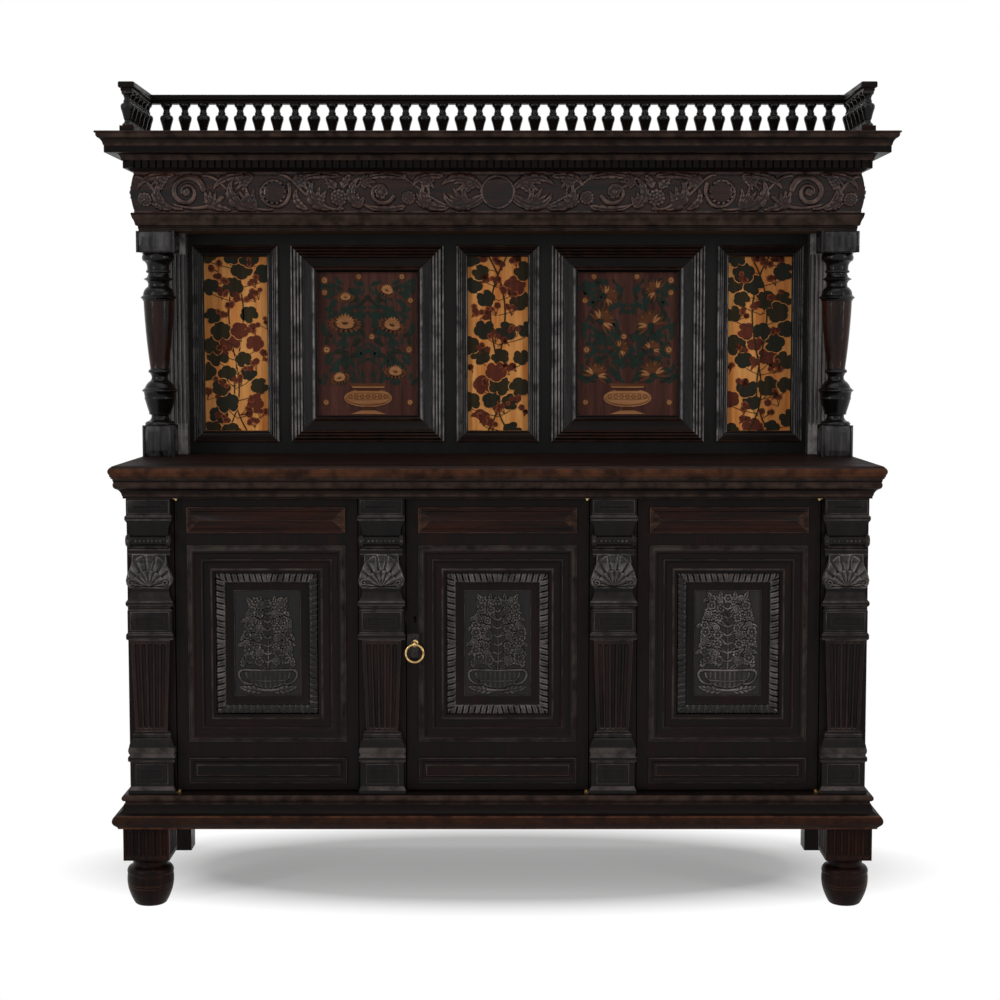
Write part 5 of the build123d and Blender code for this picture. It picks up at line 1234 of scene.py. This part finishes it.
def wall_mouldings():
    """Reeded mouldings round the five inlaid panels."""
    w, z0, z1 = NARROW_WIDTH, WALL_LOW[2], WALL_HIGH[2]
    narrow = [(0, 0), (0, 6), (1, 7.6)] + reeds(1.5, 4.3, 3, 7.6, 2.2) + [(15, 7)]
    narrow += [(18, 4.6), (20.5, 3.6), (21, 2.6)] + reeds(21.2, 3.6, 1, 2.6, 1.6) + [(w, 2.2), (w, -7.5)]
    one = Shape()
    framed(one, narrow, (-NARROW_HALF - w, z0), (NARROW_HALF + w, z1), 0)
    shape = Shape().pair(one, (NARROW_CENTRE, Y_WALL, 0))
    framed(shape, narrow, (-CENTRE_HALF - w, z0), (CENTRE_HALF + w, z1), Y_WALL)
    # Upright lengths take the painted sheen finish, level lengths the plain one.
    piece("reeded_narrow_mouldings", shape, "narrow_panel_mouldings", (WALL_X, WALL_SHEEN_Z))
    low, high = box("large_panel_mouldings")
    w = LARGE_WIDTH
    large = [(0, 0), (0, 5.5)] + reeds(0.2, 4.6, 1, 5.5, 2.4) + [(5.4, 5.2), (6.2, 6.4)]
    large += reeds(6.4, 7.0, 3, 7.6, 3.9) + [(28, 7.2), (30, 6.0), (45.5, 3.6), (48, 3.2), (48.6, 4.4)]
    large += reeds(48.8, 8.6, 1, 4.4, 3.8) + [(58.4, 3.0), (w, 2.0), (w, -7.5)]
    one = Shape()
    framed(one, large, (2 * LARGE_CENTRE - high[0], low[2]), high, Y_WALL)
    # Upright lengths take the painted sheen finish, level lengths the plain one.
    piece("reeded_large_mouldings", Shape().pair(one), "large_panel_mouldings", (WALL_X, WALL_SHEEN_Z))


def responds():
    """Half-posts with five bold reeds, between plain ends."""
    low, high = box("back_responds")
    across = np.linspace(0, 1, 71)
    up = np.array([low[2], low[2] + 66, low[2] + 74, high[2] - 50, high[2] - 44, high[2]])
    reeded = np.array([0, 0, 1, 1, 0, 0])
    wave = np.abs(np.sin(math.pi * 5 * np.clip((across - 0.06) / 0.88, 0, 1))) ** 0.7
    x, z = np.meshgrid(high[0] - RESPOND_WIDTH + across * RESPOND_WIDTH, up)
    one = Shape()
    surface(one, x, low[1] + 4.5 * reeded[:, None] * (1 - wave[None, :]), z, back=high[1])
    # The reeds take the pale painted sheen finish.
    piece("reeded_responds", Shape().pair(one), "back_responds", (PAINTED_SHEEN_Z,))


wall_mouldings()
responds()


# ---- inlay
class Inlay:
    """Thin veneers on an upright face. Each layer is a little in front of the last."""

    def __init__(self, face):
        self.shape = Shape()
        self.face = face
        self.laid = 0

    def flat(self, points, layer, finish):
        """Layer 0 is the ground, where each form gets a depth of its own in turn."""
        self.laid += 1
        y = self.face - INLAY_LAYER * (layer + GROUND_LAYERS if layer else 1 + self.laid % GROUND_LAYERS)
        self.shape.flat([(x, y, z) for x, z in points], finish)

    def ground(self, x, half, z0, z1, finish):
        """The plain veneer that everything else is let into."""
        y = self.face - 0.5 * INLAY_LAYER
        self.shape.flat([(x - half, y, z0), (x + half, y, z0), (x + half, y, z1), (x - half, y, z1)], finish)

    def leaf(self, x, z, length, angle, width, layer=0, finish=0, blunt=0.6, curl=0.0):
        """A bent oval from its stalk's end."""
        share = np.linspace(0, 1, 10)
        half = width / 2 * np.sin(math.pi * share ** 0.85) ** blunt
        sides = []
        for hand in (1, -1):
            u, v = turned(share * length, curl * length * share ** 2 + hand * half, math.radians(angle))
            sides.append(np.stack([x + u, z + v], axis=-1))
        self.flat(np.concatenate([sides[0], sides[1][-2:0:-1]]), layer, finish)

    def stalk(self, points, width, layer=0, finish=0):
        path = bezier(points, 18)
        along = np.gradient(path, axis=0)
        along /= np.linalg.norm(along, axis=1)[:, None]
        side = np.stack([-along[:, 1], along[:, 0]], axis=-1) * width / 2
        self.flat(np.concatenate([path + side, (path - side)[::-1]]), layer, finish)

    def disc(self, x, z, wide, high, layer, finish, start=0.0, end=TAU, lean=0.0):
        turn = np.linspace(start, end, 25)[:24 if end - start > 6 else 25]
        u, v = turned(wide * np.cos(turn), high * np.sin(turn), lean)
        self.flat(list(zip(x + u, z + v)), layer, finish)

    def lobed(self, x, z, radius, angle, layer, finish, within):
        """A round leaf with shallow lobes and a notch at its stalk, kept inside the panel."""
        turn = circle(40)
        reach = radius * (0.84 + 0.16 * np.abs(np.cos(2.5 * turn)) ** 0.6)
        reach *= 1 - 0.35 * np.exp(-((turn - math.pi) / 0.22) ** 2)
        lean = turn + math.radians(angle)
        low, high = within
        self.flat(list(zip(np.clip(x + 1.08 * reach * np.cos(lean), low[0], high[0]),
                           np.clip(z + reach * np.sin(lean), low[1], high[1]))), layer, finish)

    def daisy(self, x, z, radius, petals, turn, finishes, layer=BLOOM_LAYER):
        """Narrow petals in two rings round a heart."""
        for ring, reach in enumerate((1.0, 0.62)):
            wide, long = (5.0 if ring else 5.6) * radius / petals, radius * reach
            for k in range(petals):
                angle = turn + 360 * (k + 0.5 * ring) / petals
                u, v = turned(0.16 * long, 0, math.radians(angle))
                self.leaf(x + u, z + v, long * 0.84, angle, wide * reach, layer + 3 * ring + k % 3,
                          finishes[ring], 0.7)
        self.disc(x, z, 0.17 * radius, 0.17 * radius, layer + 6, finishes[2])

    def cup(self, x, z, size, angle, finishes):
        """A double flower seen from its side: a saucer of short petals under an upright tuft."""
        light, second, shade = finishes
        layer, tilt = BLOOM_LAYER, math.radians(angle - 90)
        self.disc(x, z, 0.50 * size, 0.24 * size, layer, shade, lean=tilt)
        for k in range(17):
            turn = TAU * k / 17
            u, v = turned(0.33 * size * math.cos(turn), 0.15 * size * math.sin(turn), tilt)
            lean = math.degrees(tilt + math.atan2(0.6 * math.sin(turn), math.cos(turn)))
            self.leaf(x + u, z + v, (0.10 + 0.08 * abs(math.cos(turn))) * size, lean, 0.095 * size,
                      layer + 1 + k % 2, second, 0.5)
        for step, (wide, high, finish) in enumerate(((0.335, 0.155, shade), (0.31, 0.135, second),
                                                     (0.26, 0.10, shade))):
            self.disc(x, z, wide * size, high * size, layer + 3 + step, finish, lean=tilt)
        for k in range(9):
            long, lean = (0.40 - 0.08 * abs(k / 4 - 1)) * size, angle + 66 * (2 * k / 8 - 1)
            self.leaf(x, z - 0.06 * size, long, lean, 0.105 * size, layer + 6 + k % 2, light, 0.5)
        self.disc(x, z - 0.01 * size, 0.25 * size, 0.12 * size, layer + 8, light, math.pi, TAU, tilt)

    def spray(self, x, z, size, angle, finishes):
        """A flower with long loose petals, seen from its side."""
        light, second, shade = finishes
        layer = BLOOM_LAYER
        for row, (count, fan, start, reach, wide, finish) in enumerate((
                (11, 104, 0.16, 0.62, 0.13, light), (9, 76, 0.16, 0.48, 0.11, second),
                (7, 40, 0.02, 0.78, 0.13, light))):
            for k in range(count):
                lean = angle + fan * (2 * k / (count - 1) - 1)
                u, v = turned(start * size, 0, math.radians(lean))
                self.leaf(x + u, z + v, reach * size, lean, wide * size, layer + 2 * row + k % 2, finish)
        self.disc(x, z, 0.12 * size, 0.12 * size, layer + 6, shade)


def sprig(inlay, x, z, angle, chance, within):
    """Thin red stalks that end in small buds and an open flower."""
    for k in range(4):
        lean = angle + chance.uniform(-46, 46)
        long = chance.uniform(14, 26)
        tip_x = min(max(x + long * math.cos(math.radians(lean)), within[0][0] + 5), within[1][0] - 5)
        tip_z = min(max(z + long * math.sin(math.radians(lean)), within[0][1] + 5), within[1][1] - 5)
        inlay.stalk([(x, z), ((x + tip_x) / 2 + 2, (z + tip_z) / 2), (tip_x, tip_z)], 1.3, 0, 2)
        size = chance.uniform(5.5, 8.5)
        inlay.daisy(tip_x, tip_z, min(size, within[1][0] - tip_x, tip_x - within[0][0]), 5,
                    chance.uniform(0, 72), (1 if k % 2 else 2, 2, 4), 2)


def amber_panel(inlay, x, half, z0, z1, chance):
    """A vine with round leaves that almost meet, and sprigs of red flowers between them."""
    within = (x - half, z0), (x + half, z1)
    inlay.ground(x, half + 0.5, z0 - 0.5, z1 + 0.5, 5)
    for side in HANDS:
        inlay.stalk([(x + side * 22, z0), (x - side * 60, z0 + 130), (x + side * 78, z0 + 230),
                     (x - side * 20, z1)], 3.2)
    for row in range(round((z1 - z0) / LEAF_PITCH) + 1):
        for k in range(3):
            u = (k - 1 + 0.5 * (row % 2) - 0.25) * 0.68 + chance.uniform(-0.13, 0.13)
            z = z0 + row * LEAF_PITCH + chance.uniform(-6, 6)
            if chance.uniform() < 0.28:
                sprig(inlay, x + u * half, z, chance.uniform(50, 130), chance, within)
                continue
            kind = int(chance.choice((0, 0, 0, 3, 3, 2)))
            size, turn = chance.uniform(18, 25), chance.uniform(0, 360)
            inlay.lobed(x + u * half, z, size + LEAF_GAP, turn, 0, 5, within)
            inlay.lobed(x + u * half, z, size, turn, 0, kind, within)
            inlay.stalk([(x + u * half, z - 12), (x + u * half + 4, z - 22), (x, max(z - 34, z0))], 1.6)
    for row in range(10):
        side = 1 if row % 2 else -1
        sprig(inlay, x + side * 0.62 * half, z0 + (row + 0.4) * (z1 - z0) / 10, 90 + 30 * side, chance,
              within)


def amber_panels():
    """The three narrow panels, each with its own run of leaves."""
    inlay = Inlay(AMBER_LOW[1])
    for seed, x, half in ((21, -NARROW_CENTRE, NARROW_HALF), (8, 0, CENTRE_HALF),
                          (35, NARROW_CENTRE, NARROW_HALF)):
        amber_panel(inlay, x, half - 0.5, AMBER_LOW[2] + 0.5, AMBER_HIGH[2] - 0.5,
                    np.random.default_rng(seed))
    piece("inlaid_amber_panels", inlay.shape, None,
          (LEAF, PETAL_ORANGE, PETAL_RED, LEAF_DULL, LEAF_VEIN, SATINWOOD))


def vase(inlay, x, z):
    """A footed bowl with a shaded belly, a banded neck and a wide rim."""
    for step, disc in enumerate(((40, 55, 21, 1), (39, 51, 17, 3), (40, 50, 15.5, 1), (43, 51, 8.5, 3),
                                 (43, 50, 7.2, 1))):
        up, wide, high, finish = disc
        inlay.disc(x, z + up, wide, high, 3 + step, finish, *((math.pi, TAU) if step in (1, 2) else ()))
    for k in range(-3, 4):
        inlay.daisy(x + 13.5 * k, z + 43, 5.6, 6, 0, (3, 1, 3), 8)
    for low, high, lower, upper, finish in ((56, 63, 27, 30, 2), (63, 66, 36, 38, 1), (66, 73, 40, 42, 3),
                                            (11, 20, 12, 10, 2), (3, 11, 40, 16, 1)):
        inlay.flat([(x - lower, z + low), (x + lower, z + low), (x + upper, z + high),
                    (x - upper, z + high)], 5, finish)


def foliage(inlay, x, z, chance):
    """Wavy stems in a pair, with close dark green leaves over the whole ground."""
    for side in HANDS:
        for reach, width in ((1.0, 3.4), (1.9, 2.2)):
            inlay.stalk([(x + 6 * side, z + 72), (x + 52 * side * reach, z + 118),
                         (x - 16 * side, z + 170), (x + 56 * side * reach, z + 214),
                         (x + 40 * side, z + 286)], width)
    for k in range(150):
        u, v = chance.uniform(6, 100), chance.uniform(70, 302)
        angle = 90 + 55 * math.sin(v / 17) + chance.uniform(-35, 35)
        long, wide, finish = chance.uniform(14, 26), chance.uniform(6, 11), 5 if k % 5 == 0 else 0
        for side in HANDS:
            inlay.leaf(x + side * u, z + v, long, 90 + side * (angle - 90), wide, 0, finish,
                       curl=0.15 * side)


def dark_panel(inlay, x, z, hand, chance):
    tan, orange, green, shade = 1, 3, 0, 4
    inlay.ground(x, DARK_HIGH[0] - LARGE_CENTRE, DARK_LOW[2], DARK_HIGH[2], 6)
    foliage(inlay, x, z, chance)
    vase(inlay, x, z)
    if hand < 0:
        for u, v, size, angle in ((-52, 208, 76, 88), (54, 204, 66, 72), (-50, 268, 42, 94),
                                  (42, 284, 48, 62), (-64, 84, 48, 105), (62, 98, 54, 84)):
            inlay.cup(x + u, z + v, size, angle, (tan, orange, shade))
    else:
        for u, v, size, angle in ((-62, 214, 44, 40), (52, 206, 46, 115), (-52, 272, 38, 10),
                                  (66, 284, 36, 150), (-74, 90, 40, 70), (58, 92, 44, 100),
                                  (-20, 152, 30, 20), (54, 150, 30, 60)):
            inlay.spray(x + u, z + v, size, angle, (orange, tan, green))
    for u, v, size in ((-98, 308, 10), (-98, 280, 9), (-20, 316, 9), (78, 316, 9), (98, 262, 9),
                       (9, 180, 9), (-94, 150, 11), (94, 150, 10), (-96, 30, 9), (96, 30, 9)):
        inlay.daisy(x - hand * u, z + v, size, 7, 3 * v, (orange, tan, green))


def dark_panels():
    """Bowls of tan flowers with dark green leaves, in the two wide panels."""
    inlay = Inlay(DARK_LOW[1])
    chance = np.random.default_rng(3)
    for hand in HANDS:
        dark_panel(inlay, hand * LARGE_CENTRE, LARGE_SIGHT_LOW, hand, chance)
    piece("inlaid_dark_panels", inlay.shape, None,
          (LEAF_GREEN, PETAL_TAN, VASE_RED, PETAL_RUST, GAP_DARK, LEAF_DULL, WALNUT))


amber_panels()
dark_panels()


# ---- brass
def ring_and_plate():
    low, high = box("ring_pull")
    x, y, z = (low + high) / 2
    wire = (high[1] - low[1]) / 2
    major = (high[2] - low[2]) / 2 - wire
    ring, shape = Shape(), Shape()
    lathe(ring, [(major + wire * math.cos(t), wire * math.sin(t)) for t in (*circle(16), 0)], (x, y, z), 72,
          axis=1)
    piece("round_ring", ring, "ring_pull", (BRASS,), "ring_pull")
    low, high = box("pull_plate")
    top = z + major
    board(shape, low[0], low[0] + PLATE_WIDTH, high[1] - PLATE_THICK, high[1], low[2], high[2], 0.5, 1)
    stem = outline((0, 0), (7.5, 0), (7.5, 0.6), ((5.5, 1.6), (3.6, 3.4)), (3.2, 13), (0, 13))
    lathe(shape, [(r, -h) for r, h in softened(stem, 0.4)], (x, high[1] - PLATE_THICK, top), 24, axis=1)
    outer, inner = y - low[1], 3.8
    half, edge = BOSS_HALF, outer - 0.8
    bulb = outline((inner, -half), (edge, -half), ((outer, 0), (edge, half)), (inner, half), (inner, -half))
    lathe(shape, bulb, (x, y, top), 24, axis=0)
    piece("pull_backplate", shape, "pull_plate", (BRASS, DARK_METAL), "centre_door")


ring_and_plate()


# ---- camera, light and floor
def placed(name, data, place=(0, 0, 0), turn=(0, 0, 0)):
    obj = bpy.data.objects.new(name, data)
    obj.location = place
    obj.rotation_euler = turn
    bpy.context.scene.collection.objects.link(obj)
    return obj


def camera():
    data = bpy.data.cameras.new("camera")
    data.lens = CAMERA_LENS
    data.sensor_width = 36.0
    data.clip_end = 100.0
    bpy.context.scene.camera = placed("camera", data, CAMERA_PLACE, (math.radians(CAMERA_TILT), 0, 0))


def softbox(name, place, target, size, power, height):
    data = bpy.data.lights.new(name, "AREA")
    data.shape = "RECTANGLE"
    data.size = size
    data.size_y = height
    data.energy = power
    x, y, z = np.array(target) - np.array(place)
    placed(name, data, place, (math.atan2(math.hypot(x, y), -z), 0, math.atan2(-x, y)))


def studio():
    """Soft lamps, and white where the camera sees past the floor."""
    softbox("top_light", (0.0, -0.6, 4.4), (0, 0, 0.6), 3.4, 56, 3.4)
    softbox("left_light", (-3.2, -3.0, 2.2), (0, 0, 0.9), 0.4, 48, 2.8)
    softbox("right_light", (3.4, -2.6, 2.0), (0, 0, 0.9), 0.35, 38, 2.8)
    world = bpy.data.worlds.new("studio")
    world.use_nodes = True
    bpy.context.scene.world = world
    nodes = Nodes(world.node_tree)
    background = nodes.tree.nodes["Background"]
    nodes.feed(background.inputs["Color"], (1.0, 1.0, 1.0))
    nodes.feed(background.inputs["Strength"], nodes.node("MapRange", Value=nodes.seen_ray(), To_Min=0.18))


def floor():
    """A pale floor that keeps the shadow. For the camera it turns to plain white away from the object."""
    mesh = bpy.data.meshes.new("floor")
    size = FLOOR_SIZE
    mesh.from_pydata([(-size, -size, 0), (size, -size, 0), (size, size, 0), (-size, size, 0)], [],
                     [(0, 1, 2, 3)])
    finish = Finish("pale_floor")
    speckle = finish.noise(finish.place(), 300.0, 3.0)
    finish.set(Roughness=0.9, Specular_IOR_Level=0.1,
               Base_Color=finish.mix(speckle, (0.8, 0.8, 0.8), (0.83, 0.83, 0.83)))
    glow, lift = (finish.node("Emission", Color=(1.0, 1.0, 1.0), Strength=power)
                  for power in (1.0, FLOOR_LIFT))
    pale = finish.shader.outputs[0]
    distance = finish.node("VectorMath", output=1, settings={"operation": "LENGTH"},
                           Vector=finish.place(FLOOR_SHAPE, FLOOR_SHIFT))
    away = finish.ramp(distance, FLOOR_NEAR, FLOOR_FAR)
    near = finish.stack("MixShader", away, finish.stack("AddShader", pale, lift), glow)
    shown = finish.stack("MixShader", finish.seen_ray(), pale, near)
    finish.feed(finish.tree.nodes["Material Output"].inputs["Surface"], shown)
    mesh.materials.append(finish.material)
    placed("floor", mesh)


camera()
studio()
floor()
bpy.context.scene.view_settings.view_transform = "Standard"
